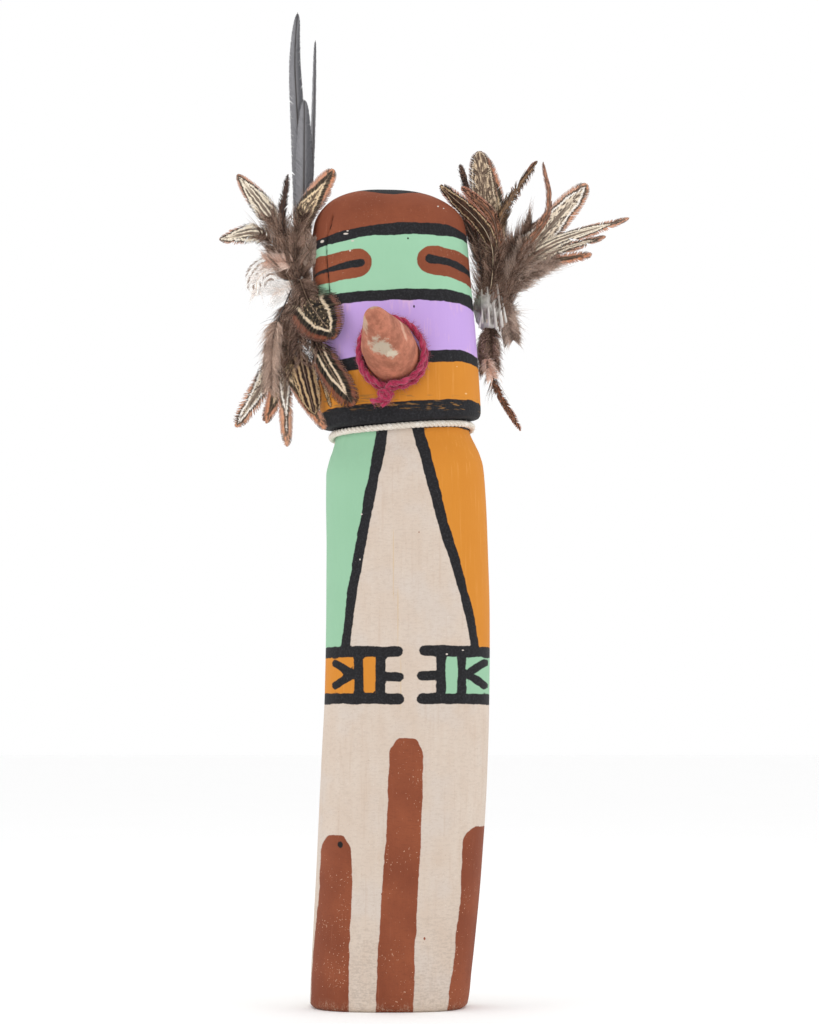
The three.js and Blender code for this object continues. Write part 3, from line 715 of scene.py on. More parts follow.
class Tree:  # a geometry tree with named inputs, and what it is given
    def __init__(self, name, entries):
        self.nodes = bpy.data.node_groups.new(name, "GeometryNodeTree")
        face = self.nodes.interface
        face.new_socket(name="Geometry", in_out="INPUT", socket_type="NodeSocketGeometry")
        for label, (kind, value) in entries.items():
            entry = face.new_socket(name=label, in_out="INPUT", socket_type="NodeSocket" + kind)
            if value is not None:
                entry.default_value = value
        face.new_socket(name="Geometry", in_out="OUTPUT", socket_type="NodeSocketGeometry")
        self.entry = self.nodes.nodes.new("NodeGroupInput")
        self.pen = Wire(self.nodes)

    def given(self, label):
        return Wire(self.nodes, self.entry.outputs[label])

    def make(self, kind, settings=None, inputs=None, output=0):
        return self.pen.make(kind, settings, inputs, output)

    def named(self, label, kind="FLOAT"):
        return self.make("GeometryNodeInputNamedAttribute", {"data_type": kind}, {"Name": label})

    def store(self, shape, **values):
        for label, value in values.items():
            shape = self.make("GeometryNodeStoreNamedAttribute", {"data_type": "FLOAT", "domain": "POINT"},
                              {"Geometry": shape, "Name": label, "Value": value})
        return shape

    def chance(self, low, high, key, salt):  # a seeded random number for each key
        return self.make("FunctionNodeRandomValue", {"data_type": "FLOAT"},
                         {"Min": low, "Max": high, "ID": key, "Seed": self.given("Seed") + salt})

    def joined(self, *shapes):
        node = self.nodes.nodes.new("GeometryNodeJoinGeometry")
        for shape in shapes:
            self.nodes.links.new(shape.socket, node.inputs[0])
        return Wire(self.nodes, node.outputs[0])

    def line(self):  # the line of points that the tree is run on
        return self.make("GeometryNodeMeshToCurve", {}, {"Mesh": self.given("Geometry")})

    def evened(self, line, count):
        return self.make("GeometryNodeResampleCurve", {"mode": "COUNT"}, {"Curve": line, "Count": count})

    def straight(self, count):  # an upright line one unit long
        line = self.make("GeometryNodeCurvePrimitiveLine", {}, {"Start": (0, 0, 0), "End": (0, 0, 1)})
        return self.evened(line, count)

    def along(self, output="Factor"):
        return self.make("GeometryNodeSplineParameter", {}, {}, output)

    def moved(self, shape, **where):
        return self.make("GeometryNodeSetPosition", {}, {"Geometry": shape, **where})

    def ring(self, sides, radius=1.0):
        return self.make("GeometryNodeCurvePrimitiveCircle", {"mode": "RADIUS"},
                         {"Resolution": sides, "Radius": radius})

    def tube(self, line, ring, thick):
        return self.make("GeometryNodeCurveToMesh", {},
                         {"Curve": line, "Profile Curve": ring, "Scale": thick, "Fill Caps": True})

    def placed(self, points, shape, **ways):
        return self.make("GeometryNodeInstanceOnPoints", {}, {"Points": points, "Instance": shape, **ways})

    def realized(self, shape):
        return self.make("GeometryNodeRealizeInstances", {}, {"Geometry": shape})

    def painted(self, shape, label):
        return self.make("GeometryNodeSetMaterial", {},
                         {"Geometry": self.realized(shape), "Material": self.given(label)})

    def strands(self, count):  # loose lines, with a number for each and the share along it
        points = self.store(self.make("GeometryNodePoints", {}, {"Count": count}),
                            barb=self.make("GeometryNodeInputIndex"))
        line = self.store(self.straight(5), strand=self.along())
        return self.realized(self.placed(points, line)), self.named("barb"), self.named("strand")

    def sampler(self, rib, share):  # reads the rib's values or its own course at a share along it
        def sampled(label, kind="FLOAT"):
            inputs, output = {"Curves": rib, "Factor": share}, label
            if label not in ("Position", "Tangent"):
                inputs["Value"], output = self.named(label, kind), "Value"
            settings = {"mode": "FACTOR", "data_type": kind}
            return self.make("GeometryNodeSampleCurve", settings, inputs, output)
        return sampled

    def drift(self, x, y, z, scale):  # a smooth push to any side
        push = self.pen.cloud(self.pen.packed(x, y, z), scale, output="Color")
        return push.vector("SUBTRACT", push, (0.5, 0.5, 0.5))

    def turned(self, lines, normal):  # which way flat lines face
        return self.make("GeometryNodeSetCurveNormal", {"mode": "FREE"}, {"Curve": lines, "Normal": normal})

    def flattened(self, ring, shape):
        place = self.make("GeometryNodeInputPosition")
        return self.moved(ring, Position=place.vector("MULTIPLY", place, shape))

    def finish(self, shape):
        out = self.nodes.nodes.new("NodeGroupOutput")
        self.nodes.links.new(shape.socket, out.inputs[0])


def lineObject(name, places, values=None):  # a bare line of points with values on it, for a tree
    mesh = bpy.data.meshes.new(name)
    mesh.from_pydata([tuple(p) for p in places], [(i, i + 1) for i in range(len(places) - 1)], [])
    piece = added(name, mesh)
    for label, numbers in (values or {}).items():
        storeValues(piece, label, numbers)
    return piece


def grow(piece, tree, values):  # runs a tree on a piece and keeps its result as a plain mesh
    modifier = piece.modifiers.new(tree.nodes.name, "NODES")
    modifier.node_group = tree.nodes
    for entry in tree.nodes.interface.items_tree:
        if entry.in_out == "INPUT" and entry.name in values:
            modifier[entry.identifier] = values[entry.name]
    piece.update_tag()
    graph = bpy.context.evaluated_depsgraph_get()
    ready = piece.evaluated_get(graph)
    mesh = bpy.data.meshes.new_from_object(ready, preserve_all_data_layers=True, depsgraph=graph)
    piece.modifiers.remove(modifier)
    piece.data = mesh
    return piece


def cordTree():
    tree = Tree("twistedPlies", {
        "Ply radius": ("Float", 0.5 * mm), "Ply offset": ("Float", 0.5 * mm), "Plies": ("Int", 3),
        "Twist per metre": ("Float", 150.0), "Steps": ("Int", 200), "Hairs": ("Float", 2e5),
        "Hair length": ("Float", 1.2 * mm), "Seed": ("Int", 3), "Cord finish": ("Material", None),
    })
    even = tree.make("GeometryNodeSetCurveNormal", {"mode": "MINIMUM_TWIST"},
                     {"Curve": tree.evened(tree.line(), tree.given("Steps"))})
    run = tree.along("Length")
    normal = tree.make("GeometryNodeInputNormal")
    tangent = tree.make("GeometryNodeInputTangent")
    other = normal.vector("CROSS_PRODUCT", tangent, normal)
    ring = tree.ring(7)
    uneven = tree.pen.cloud(tree.make("GeometryNodeInputPosition"), 420.0)
    plies = []
    for ply in range(3):
        turn = (run * tree.given("Twist per metre") + ply / tree.given("Plies")) * (2 * math.pi)
        sway = normal.vector("SCALE", normal, turn.maths("COSINE", turn))
        sway = sway.shifted(other, turn.maths("SINE", turn))
        wanted = tree.given("Plies").maths("GREATER_THAN", tree.given("Plies"), ply + 0.5)
        reach = tree.given("Ply offset") * wanted * (0.86 + uneven * 0.28)
        shifted = tree.moved(even, Offset=normal.vector("SCALE", sway, reach))
        thick = tree.given("Ply radius") * wanted.maths("MAXIMUM", wanted, 0.05) * (0.84 + uneven * 0.32)
        plies.append(tree.store(tree.tube(shifted, ring, thick), ply=ply + 0.0))
    body = tree.joined(*plies)
    seed = tree.given("Seed")
    points = tree.make("GeometryNodeDistributePointsOnFaces", {"distribute_method": "RANDOM"},
                       {"Mesh": body, "Density": tree.given("Hairs"), "Seed": seed})
    lean = tree.make("FunctionNodeRandomValue", {"data_type": "FLOAT_VECTOR"},
                     {0: (-1, -1, -1), 1: (1, 1, 1), "Seed": seed})
    turned = tree.make("FunctionNodeAlignRotationToVector", {"axis": "Z"},
                       {"Vector": lean.shifted(points.sibling("Normal"), 0.8)})
    bend = tree.along()
    hair = tree.moved(tree.straight(4), Offset=tree.pen.packed(bend * bend * 0.5, bend * bend * -0.2))
    hair = tree.tube(hair, tree.ring(3, 0.035), 1 - bend * 0.6)
    size = tree.make("FunctionNodeRandomValue", {"data_type": "FLOAT"},
                     {"Min": 0.4, "Max": 1.3, "Seed": seed + 5})
    hairs = tree.placed(points, hair, Rotation=turned, Scale=size * tree.given("Hair length"))
    tree.finish(tree.painted(tree.joined(body, hairs), "Cord finish"))
    return tree


def fibreFinish(name, base, deep, pale, rough, sheen):
    pen, place = newFinish(name)
    fibre = pen.cloud(place, 2600.0, 3.0, 0.7)
    shade = pen.mixed(fibre.ramp(0.35, 0.65), colour(*deep), colour(*base))
    shade = pen.washed(shade, pen.cloud(place, 320.0), (0.5, 0.8), 0.6, *pale)
    return dressFinish(pen, shade, rough, bumped(pen, fibre, 0.00015, 0.6),
                       **{"Sheen Weight": sheen, "Sheen Roughness": 0.5, "Specular IOR Level": 0.2})


# Cords: sizes in millimetres, twist in turns per metre and hairs per square metre of ply.
yarn = {"name": "yarn_run", "radius": 1.25, "turns": 2, "gap": 0.3, "plies": 2, "ply": 0.78, "offset": 0.5,
        "twist": 120.0, "hairs": 1.5e6, "hair": 1.5, "seed": 11, "fine": 3}
string = {"name": "string_run", "radius": 1.3, "level": 220.9, "tail": 14.0, "plies": 3, "ply": 0.66,
          "offset": 0.66, "twist": 190.0, "hairs": 2.5e5, "hair": 0.9, "seed": 31, "fine": 2}
cordStep = 0.42 * mm


def spun(cord, lines, tree, finish):  # a twisted cord along each line
    for number, line in enumerate(lines):
        points = np.array([tuple(p) for p in line])
        wanted = np.linspace(0, 1, max(30, len(line) * cord["fine"]))
        piece = lineObject(cord["name"], between(points, chordShares(points), wanted))
        yield grow(piece, tree, {
            "Ply radius": cord["ply"] * mm, "Ply offset": cord["offset"] * mm, "Plies": cord["plies"],
            "Twist per metre": cord["twist"], "Steps": int(runLength(points) / cordStep),
            "Hairs": cord["hairs"], "Hair length": cord["hair"] * mm, "Seed": cord["seed"] + number,
            "Cord finish": finish})


def strung(knot, *offsets):  # a free end through places beside the knot
    return [knot + Vector(offset) * mm for offset in offsets]


def onSnoutRing(turn, faceGap, spread):  # beside the snout at a turn from straight down, off the face
    reach = (snout["radii"][1][1] + yarn["radius"] + yarn["gap"] + spread) * mm
    out = snoutSide * math.sin(turn) + snoutDown * math.cos(turn)
    hit = rootSurface.ray_cast(snoutSeat + out * reach + snoutAxis * 0.06, -snoutAxis)
    return hit[0] + snoutAxis * (faceGap * mm / abs(snoutAxis.y))


def yarnLines():
    r, perTurn = yarn["radius"], 52
    places = []
    for i in range(perTurn * yarn["turns"] + 1):
        made = i / perTurn
        spread = r * (0.6 - 0.22 * made) + 0.12 * math.sin(9 * made)
        places.append(onSnoutRing(2 * math.pi * made, r * (1 + 1.7 * made) + yarn["gap"], spread))
    knot = onSnoutRing(0, 3 * r, r) + Vector((-2, 0.4, -1.9 * r)) * mm
    return [
        places + [knot],
        strung(knot, (2.2, -0.4, 0.6), (1.0, -1.6, -1.0), (-1.4, -1.7, -0.8), (-2.2, -0.8, 0.9),
               (-0.4, -1.4, 1.5), (1.5, -1.2, 0.5), (0.6, -0.6, -1.4), (-2.6, -0.5, -1.9),
               (-5.4, 0.5, -2.3)),
        strung(knot, (-1.8, -0.5, 0.9), (0.2, -1.9, 0.4), (1.2, -1.2, -1.2), (0.0, -0.8, -2.4),
               (-1.6, -0.7, -4.2)),
    ]


def stringLines():
    centre = Vector((5.6, -2.6, string["level"] - 0.1)) * mm
    places, perTurn = [], 120
    for i in range(perTurn + 1):
        turn = math.pi / 2 + 2 * math.pi * i / perTurn
        out = Vector((math.cos(turn), math.sin(turn), 0.0))
        tilt = Vector((0, 0, 0.00195 * out.x))  # the neck leans with the head
        hit = rootSurface.ray_cast(centre + out * 0.08 + tilt, -out)
        places.append(hit[0] + out * (string["radius"] + 0.05) * mm)
    knot = places[0] + Vector((0, 0.9, 0)) * mm
    t = string["tail"]
    return [places] + [
        strung(knot, (-1.6 * way, -0.4, 0.6), (-0.6 * way, 1.5, 1.2), (1.6 * way, 1.3, -0.2),
               (1.0 * way, 1.2, -1.6), (2.0 * way, 3.0, -0.3 * t), (2.9 * way, 4.6, -0.66 * t),
               (3.4 * way, 5.4, -t))
        for way in (-1, 1)]


def joinPieces(name, parts):  # several plain meshes made one piece
    merged = parts[0]
    with bpy.context.temp_override(active_object=merged, selected_editable_objects=parts):
        bpy.ops.object.join()
    merged.name = name
    merged.data.name = name
    return merged


plies = cordTree()
wool = fibreFinish("crimsonWool", (184, 52, 88), (142, 34, 66), (206, 84, 118), 0.95, 0.4)
cotton = fibreFinish("whiteCotton", (236, 229, 219), (206, 194, 178), (246, 242, 236), 0.9, 0.15)
snoutYarn = joinPieces("wound_yarn", list(spun(yarn, yarnLines(), plies, wool)))
stands(snoutYarn, "wool_yarn", "snout_yarn")
neckString = joinPieces("tied_string", list(spun(string, stringLines(), plies, cotton)))
stands(neckString, "cotton_string", "neck_string")
print("stage 5: yarn", len(snoutYarn.data.polygons), "faces, string", len(neckString.data.polygons))


def barbTree():
    tree = Tree("barbsAlongRib", {
        "Barbs per side": ("Int", 120), "Bare share": ("Float", 0.2), "Lean": ("Float", 0.18),
        "Barb radius": ("Float", 0.24 * mm), "Split": ("Float", 0.02), "Groups": ("Float", 9.0),
        "Ragged": ("Float", 0.1), "Fluff share": ("Float", 0.2), "Fluff reach": ("Float", 1.2),
        "Fluff wave": ("Float", 2.5 * mm), "Cup": ("Float", 0.12), "Wave": ("Float", 0.3 * mm),
        "Rib radius": ("Float", 0.42 * mm), "Vane length": ("Float", 45 * mm), "Thin end": ("Float", 0.45),
        "Seed": ("Int", 1), "Vane finish": ("Material", None), "Rib finish": ("Material", None),
    })
    given, chance = tree.given, tree.chance
    rib, count = tree.line(), given("Barbs per side")
    barbs, barb, w = tree.strands(count * 2.0)
    sideOf = barb.maths("MODULO", barb, 2.0)
    side = sideOf * 2.0 - 1.0
    row = barb.maths("FLOOR", barb / 2.0)
    u = (row + 0.5 + chance(-0.4, 0.4, barb, 1)) / count
    fluff = 1 - u.ramp(given("Fluff share") - 0.1, given("Fluff share") + 0.08)
    group = barb.maths("FLOOR", u * given("Groups") + sideOf * 0.37) * 2.0 + sideOf
    split = chance(-1.0, 1.0, group, 7) * given("Split")
    stray = chance(-0.3, 1.0, barb, 9) * given("Split") * 0.35
    lean = given("Lean") * (1 - u ** 3.0 * 0.75)
    reachOn = u + lean * w ** 0.9 + (split + stray) * w ** 1.6 * (1 - u * 0.6)
    v = reachOn.maths("MINIMUM", reachOn, 0.992)
    share = given("Bare share") + v.maths("MAXIMUM", v, 0.0) * (1 - given("Bare share"))
    sampled = tree.sampler(rib, share)
    half, facing = sampled("reach"), sampled("facing", "FLOAT_VECTOR")
    ragged = 1 + chance(-1.0, 0.35, barb, 3) * given("Ragged")
    out = half * ragged * (1 + fluff * (given("Fluff reach") * chance(0.75, 1.2, barb, 4) - 1))
    place = sampled("Position").shifted(sampled("across", "FLOAT_VECTOR"), out * w * side)
    cup = (w * w * out * given("Cup") * -1.0) + chance(-0.5, 0.5, barb, 5) * 0.12 * mm * w
    wave = (given("Wave") + fluff * given("Fluff wave")) * w * 2.0
    drift = tree.drift(barb * 0.173, w * 1.7, given("Seed") * 3.1, 1.6)
    barbs = tree.turned(tree.moved(barbs, Position=place.shifted(facing, cup).shifted(drift, wave)), facing)
    run = lean * given("Vane length")
    whole = (run * run + half * half) ** 0.5 * 1000
    barbs = tree.store(barbs, along=u, fromRib=half * w * side * 1000, toEdge=whole * (1 - w), fluff=fluff,
                       shift=chance(0.0, 1.0, barb, 6))
    thin = (1 - w * given("Thin end")) * (1 - fluff * 0.62) * given("Barb radius")
    flat = tree.flattened(tree.ring(3), (0.2, 1.1, 1.0))
    vane = tree.painted(tree.tube(barbs, flat, thin), "Vane finish")
    taper = given("Rib radius") * (1.05 - tree.along() * 0.85)
    quill = tree.painted(tree.tube(rib, tree.ring(6), taper), "Rib finish")
    tree.finish(tree.joined(vane, quill))
    return tree


def downTree():
    tree = Tree("downStrands", {
        "Strands": ("Int", 200), "From share": ("Float", 0.12), "To share": ("Float", 0.5),
        "Length": ("Float", 9 * mm), "Wave": ("Float", 2.4 * mm), "Spread": ("Float", 0.6),
        "Strand radius": ("Float", 0.5 * mm), "Forward": ("Float", 0.5), "Seed": ("Int", 1),
        "Down finish": ("Material", None),
    })
    given, chance = tree.given, tree.chance
    strands, barb, w = tree.strands(given("Strands"))
    far = chance(0.0, 1.0, barb, 1)
    share = given("From share") + far * (given("To share") - given("From share"))
    sampled = tree.sampler(tree.line(), share)
    base, tangent = sampled("Position"), sampled("Tangent")
    across, facing = sampled("across", "FLOAT_VECTOR"), sampled("facing", "FLOAT_VECTOR")
    side = chance(-1.0, 1.0, barb, 2)
    out = side.maths("SIGN", side) * (1 - side.size() * 0.35)
    lift = chance(-0.35, 1.0, barb, 3) * given("Spread")
    onward = given("Forward") * chance(0.4, 1.5, barb, 4)
    length = given("Length") * chance(0.45, 1.15, barb, 5) * (1 - far * 0.25)
    aim = base.vector("SCALE", across, out).shifted(facing, lift).shifted(tangent, onward * (0.5 + w))
    drift = tree.drift(barb * 1.73, w * 2.2, given("Seed") * 1.9, 1.1)
    place = base.shifted(aim, length * w).shifted(drift, given("Wave") * w * 2.0)
    strands = tree.store(tree.moved(strands, Position=place), shift=chance(0.0, 1.0, barb, 6))
    strands = tree.turned(strands, facing.shifted(across, chance(-0.8, 0.8, barb, 8)))
    flat = tree.store(tree.ring(3), overStrand=tree.make("GeometryNodeInputPosition").axis("Y"))
    thin = (0.6 + w * (1 - w) * 2.0 - w * 0.2) * given("Strand radius")
    shape = tree.tube(strands, tree.flattened(flat, (0.08, 1.0, 1.0)), thin)
    tree.finish(tree.painted(shape, "Down finish"))
    return tree


def vaneLook(ground, mark, rim, fluff, line=(0, 0, 0), wavy=None, **ways):  # tints from the rib outwards
    plain = {"widths": (0, 0, 0), "fleck": 0.9, "stripe": 0, "core": 0, "pale": 0, "rimTo": 0.7,
             "fringe": 2.0, "glow": 0.04}
    tints = {"ground": ground, "mark": mark, "rim": rim, "fluff": fluff, "line": line, "wavy": wavy or mark}
    return {**plain, **ways, **{key: colour(*tint) for key, tint in tints.items()}}


# What each sort of vane shows; widths of its rim, dark band and pale line are in millimetres.
vaneLooks = {
    "blackTail": vaneLook((120, 119, 122), (92, 91, 94), (66, 65, 68), (70, 60, 56),
                          fleck=0.5, pale=0.8, fringe=0.4),
    "rustEdged": vaneLook((226, 200, 164), (38, 27, 22), (222, 148, 110), (86, 64, 54), (232, 208, 172),
                          widths=(2.5, 1.8, 0.8), fleck=1.0, core=0.4),
    "paleGrey": vaneLook((218, 206, 198), (104, 88, 82), (232, 190, 172), (112, 92, 82),
                         widths=(1.8, 0, 0), fleck=0.6, stripe=0.5, core=0.4),
    "striped": vaneLook((242, 228, 206), (60, 42, 34), (226, 162, 130), (104, 82, 72), (244, 232, 212),
                        widths=(1.4, 0.8, 0.9), fleck=0.2, stripe=0.9, core=0.5),
    "flecked": vaneLook((206, 178, 140), (16, 11, 9), (136, 72, 46), (74, 54, 45), (224, 204, 176),
                        widths=(3.7, 2.1, 0.9), fleck=1.85, fringe=2.4, rimTo=0.4, glow=0.0),
    "darkBrown": vaneLook((88, 64, 54), (46, 34, 30), (120, 88, 72), (80, 60, 51),
                          widths=(0.6, 0.5, 0), fleck=0.8, stripe=0.25, core=0.3),
    "darkCream": vaneLook((44, 29, 23), (66, 44, 34), (96, 58, 42), (74, 54, 45), (226, 196, 152),
                          (214, 180, 136), widths=(0.5, 0.5, 0.6), stripe=0.9, rimTo=0.3),
    "rustStrip": vaneLook((176, 122, 94), (60, 42, 34), (222, 152, 124), (92, 70, 59),
                          widths=(0.9, 0.5, 0), core=0.6),
    "olive": vaneLook((150, 116, 84), (62, 48, 38), (190, 128, 98), (92, 70, 59), wavy=(72, 54, 42),
                      widths=(0.7, 0.6, 0), stripe=0.9, core=0.4),
    "paleFlecked": vaneLook((238, 222, 200), (74, 56, 46), (224, 158, 120), (104, 82, 72), (250, 244, 236),
                            widths=(2.3, 0.7, 0.9), fleck=0.8, core=0.7),
    "streaked": vaneLook((222, 198, 168), (84, 64, 54), (182, 124, 104), (92, 70, 59), (232, 212, 186),
                         widths=(1.1, 0.8, 0.6), fleck=1.1, stripe=0.7, core=0.5),
    "whiteCurl": vaneLook((252, 250, 247), (132, 100, 78), (246, 240, 234), (250, 246, 242),
                          widths=(1.4, 0, 0), fleck=0, stripe=1.0, glow=0.16, fringe=0.3),
    "rustDark": vaneLook((98, 70, 54), (34, 25, 21), (216, 140, 102), (80, 60, 50), (228, 200, 160),
                         widths=(1.2, 0.8, 0.6), stripe=0.3, core=0.5, rimTo=0.3),
}


def vaneFinish(name, look):
    pen, place = newFinish(name)
    along, shift, fluff, fromRib = (pieceValue(pen, key) for key in ("along", "shift", "fluff", "fromRib"))
    offRib = fromRib.size()
    toEdge = pieceValue(pen, "toEdge") + (shift - 0.5) * 0.5
    wander = pen.cloud(place, 420.0) - 0.5
    fine = pen.cloud(place, 1500.0)
    blotch = pen.cloud(pen.packed(along * 17.0, fromRib, wander * 0.6), 1.25, 3.0, 0.62)
    shade = look["ground"]
    level = 0.62 - 0.14 * look["fleck"]
    mottle = (blotch + (shift - 0.5) * 0.08).ramp(level, level + 0.05)
    shade = pen.mixed(mottle * min(1.0, look["fleck"] + 0.3), shade, look["mark"])
    if look["stripe"]:
        wave = offRib * 3.4 + wander * 3.0 + along * 5.0 + (blotch - 0.5) * 3.0
        shade = pen.mixed(wave.maths("SINE", wave).ramp(0.05, 0.5) * look["stripe"], shade, look["wavy"])
    if look["core"]:
        core = 1 - (offRib + wander * 0.8).ramp(look["core"] * 0.8, look["core"] * 1.3)
        shade = pen.mixed(core * (1 - along.ramp(0.7, 0.9)) * 0.85, shade, look["mark"])
    upper = along.ramp(0.15, look["rimTo"])
    inner = toEdge + wander * 0.9 + (pen.cloud(place, 95.0, 1.0) - 0.5) * 3.2 + (1 - upper) * 3.6
    rim, band, line = look["widths"]
    if line:
        shade = pen.mixed(1 - inner.ramp(rim + band + line * 0.8, rim + band + line), shade, look["line"])
    if band:
        shade = pen.mixed(1 - inner.ramp(rim + band * 0.75, rim + band), shade, look["mark"])
    if rim:
        soft = tuple(0.55 * c + 0.36 * look["rim"][0] for c in look["rim"][:3]) + (1.0,)
        edge = pen.mixed(fine.ramp(0.4, 0.62) * 0.6, look["rim"], dulled(look["rim"], 0.82))
        # the rim turns paler towards the thin barb ends, low on the vane and on one side: partly the
        # feather's own paler edge, partly painted light shining through the thin barbs
        paleAndLitThrough = (1 - toEdge.ramp(0.0, rim * 0.6)) * 0.6 + (1 - along.ramp(0.5, 0.95)) * 0.3
        paleAndLitThrough = paleAndLitThrough + (1 - fromRib.ramp(-1.0, 1.0)) * 0.22
        shade = pen.mixed(1 - inner.ramp(rim * 0.7, rim), shade, pen.mixed(paleAndLitThrough.clamped(), edge, soft))
    if look["pale"]:  # the narrow outer side of a tail feather catches the light
        shade = pen.washed(shade, fromRib * -1.0, (0.1, 1.2), look["pale"], 146, 145, 149)
        shade = pen.washed(shade, fromRib, (0.3, 1.6), look["pale"], 86, 86, 90)
        shade = pen.mixed((1 - offRib.ramp(0.1, 0.4)) * 0.7, shade, colour(52, 51, 53))
    if line and rim:  # a dark mark close to the tip
        mark = along.ramp(0.86, 0.89) * (1 - along.ramp(0.93, 0.96)) * (blotch.ramp(0.42, 0.5))
        shade = pen.mixed(mark * 0.75, shade, look["mark"])
    shade = pen.mixed(fluff, shade, look["fluff"])
    shade = pen.mixed((shift - 0.5).clamped() * 0.4, shade, dulled(look["ground"], 0.72))
    alpha = (1 - fluff * 0.3) * (0.26 + toEdge.ramp(0.0, look["fringe"]) * 0.74)
    # painted light: a faint glow in the vane's ground colour stands in for light passing through the thin
    # barbs
    return dressFinish(pen, shade, 0.55 + fine * 0.2, None, alpha, **{
        "Specular IOR Level": 0.25, "Emission Color": look["ground"], "Emission Strength": look["glow"]})


def downFinish(name, deep, pale, glow, thick=0.0):  # each ribbon shows as a lock of fine hairs
    pen, place = newFinish(name)
    strand, shift, over = (pieceValue(pen, key) for key in ("strand", "shift", "overStrand"))
    hairs = pen.cloud(pen.packed(over * 2.6, strand * 0.9, shift * 61.0), 1.9, 2.0, 0.6)
    share = strand * 0.9 + shift * 0.4 + (pen.cloud(place, 130.0) - 0.5) * 2.4 + (hairs - 0.5) * 0.9 - 0.12
    level = 0.36 + strand * strand * 0.26 + over.size() * 0.08 - thick
    alpha = hairs.ramp(level, level + 0.09) * (0.95 - strand * 0.65)
    shade = pen.mixed(share.clamped(), colour(*deep), colour(*pale))
    # painted light: the down glows faintly in its pale colour, standing in for light passing through the
    # fine hairs
    return dressFinish(pen, shade, 0.9, None, alpha, **{
        "Specular IOR Level": 0.12, "Emission Color": colour(*pale), "Emission Strength": glow})


def ribFinish(name, low, high):
    pen, place = newFinish(name)
    share = pen.cloud(place, 300.0)
    shade = pen.mixed(share, colour(*low), colour(*high))
    return dressFinish(pen, shade, 0.42 + share * 0.1, **{"Specular IOR Level": 0.45})


tufts = {"left": np.array([-33.4, -9.4, 276.6]) * mm, "right": np.array([39.4, 1.4, 268.6]) * mm}
ribPoints = 64


def ribLine(node):  # the rib of a CAD vane with its outline and its two directions
    rings, tip = loftRings(node, 4, tufts[node.split("_")[0]])
    middles, reaches, acrosses, facings = [], [], [], []
    for ring in rings:
        length, a, b = max((np.linalg.norm(ring[a] - ring[b]), a, b) for a in range(4) for b in range(a))
        ribs = [i for i in range(4) if i not in (a, b)]
        facing = ring[ribs[0]] - ring[ribs[1]]
        facing /= np.linalg.norm(facing)
        middles.append(ring[ribs].mean(axis=0))
        facings.append(facing if facing[1] < 0 else -facing)
        reaches.append(length / 2)
        acrosses.append((ring[a] - ring[b]) / length)
    for i in range(len(rings)):
        onward = middles[min(i + 1, len(rings) - 1)] - middles[max(i - 1, 0)]
        if np.dot(np.cross(acrosses[i], onward), facings[i]) < 0:
            acrosses[i] = -acrosses[i]
    middles, reaches = np.array(middles + [tip]), np.array(reaches + [0.0])[:, None]
    shares, wanted = chordShares(middles), np.linspace(0, 1, ribPoints)
    values = {"reach": np.maximum(between(reaches, shares, wanted, easySlopes)[:, 0], 0.0)}
    for label, ways in (("across", acrosses), ("facing", facings)):
        way = between(np.array(ways + ways[-1:]), shares, wanted)
        values[label] = way / np.linalg.norm(way, axis=1, keepdims=True)
    return between(middles, shares, wanted), values, float(shares[1]), runLength(middles)


# A neat feather with its lengths in millimetres, what a plume has instead, and the colours of the down with
# its painted glow, which stands in for light passing through it.
neat = {"split": 0.02, "ragged": 0.07, "groups": 8, "wave": 0.25, "lean": 1.25, "spacing": 0.27,
        "shrink": 1.0, "tipward": 0.85, "fluff": 0.3, "fluffReach": 1.25, "fluffWave": 2.6, "down": 0,
        "downLength": 7.0, "downAt": 0.25, "fluffs": "brown", "spread": 0.8, "forward": 1.0, "rib": 0.27}
plumed = {"fluff": 1.3, "fluffReach": 1.0, "fluffWave": 3.2, "downAt": 0.5, "spread": 1.0, "forward": 1.1}
downs = {
    "brown": ("brownDown", (60, 40, 32), (178, 148, 131), 0.05),
    "tawny": ("tawnyDown", (104, 78, 64), (222, 198, 182), 0.1, -0.02),
    "peach": ("peachDown", (196, 142, 114), (246, 222, 208), 0.15),
    "grey": ("greyBrownDown", (106, 78, 64), (222, 194, 176), 0.12, -0.05),
    "white": ("whiteDown", (230, 210, 196), (253, 251, 249), 0.28, 0.08),
}

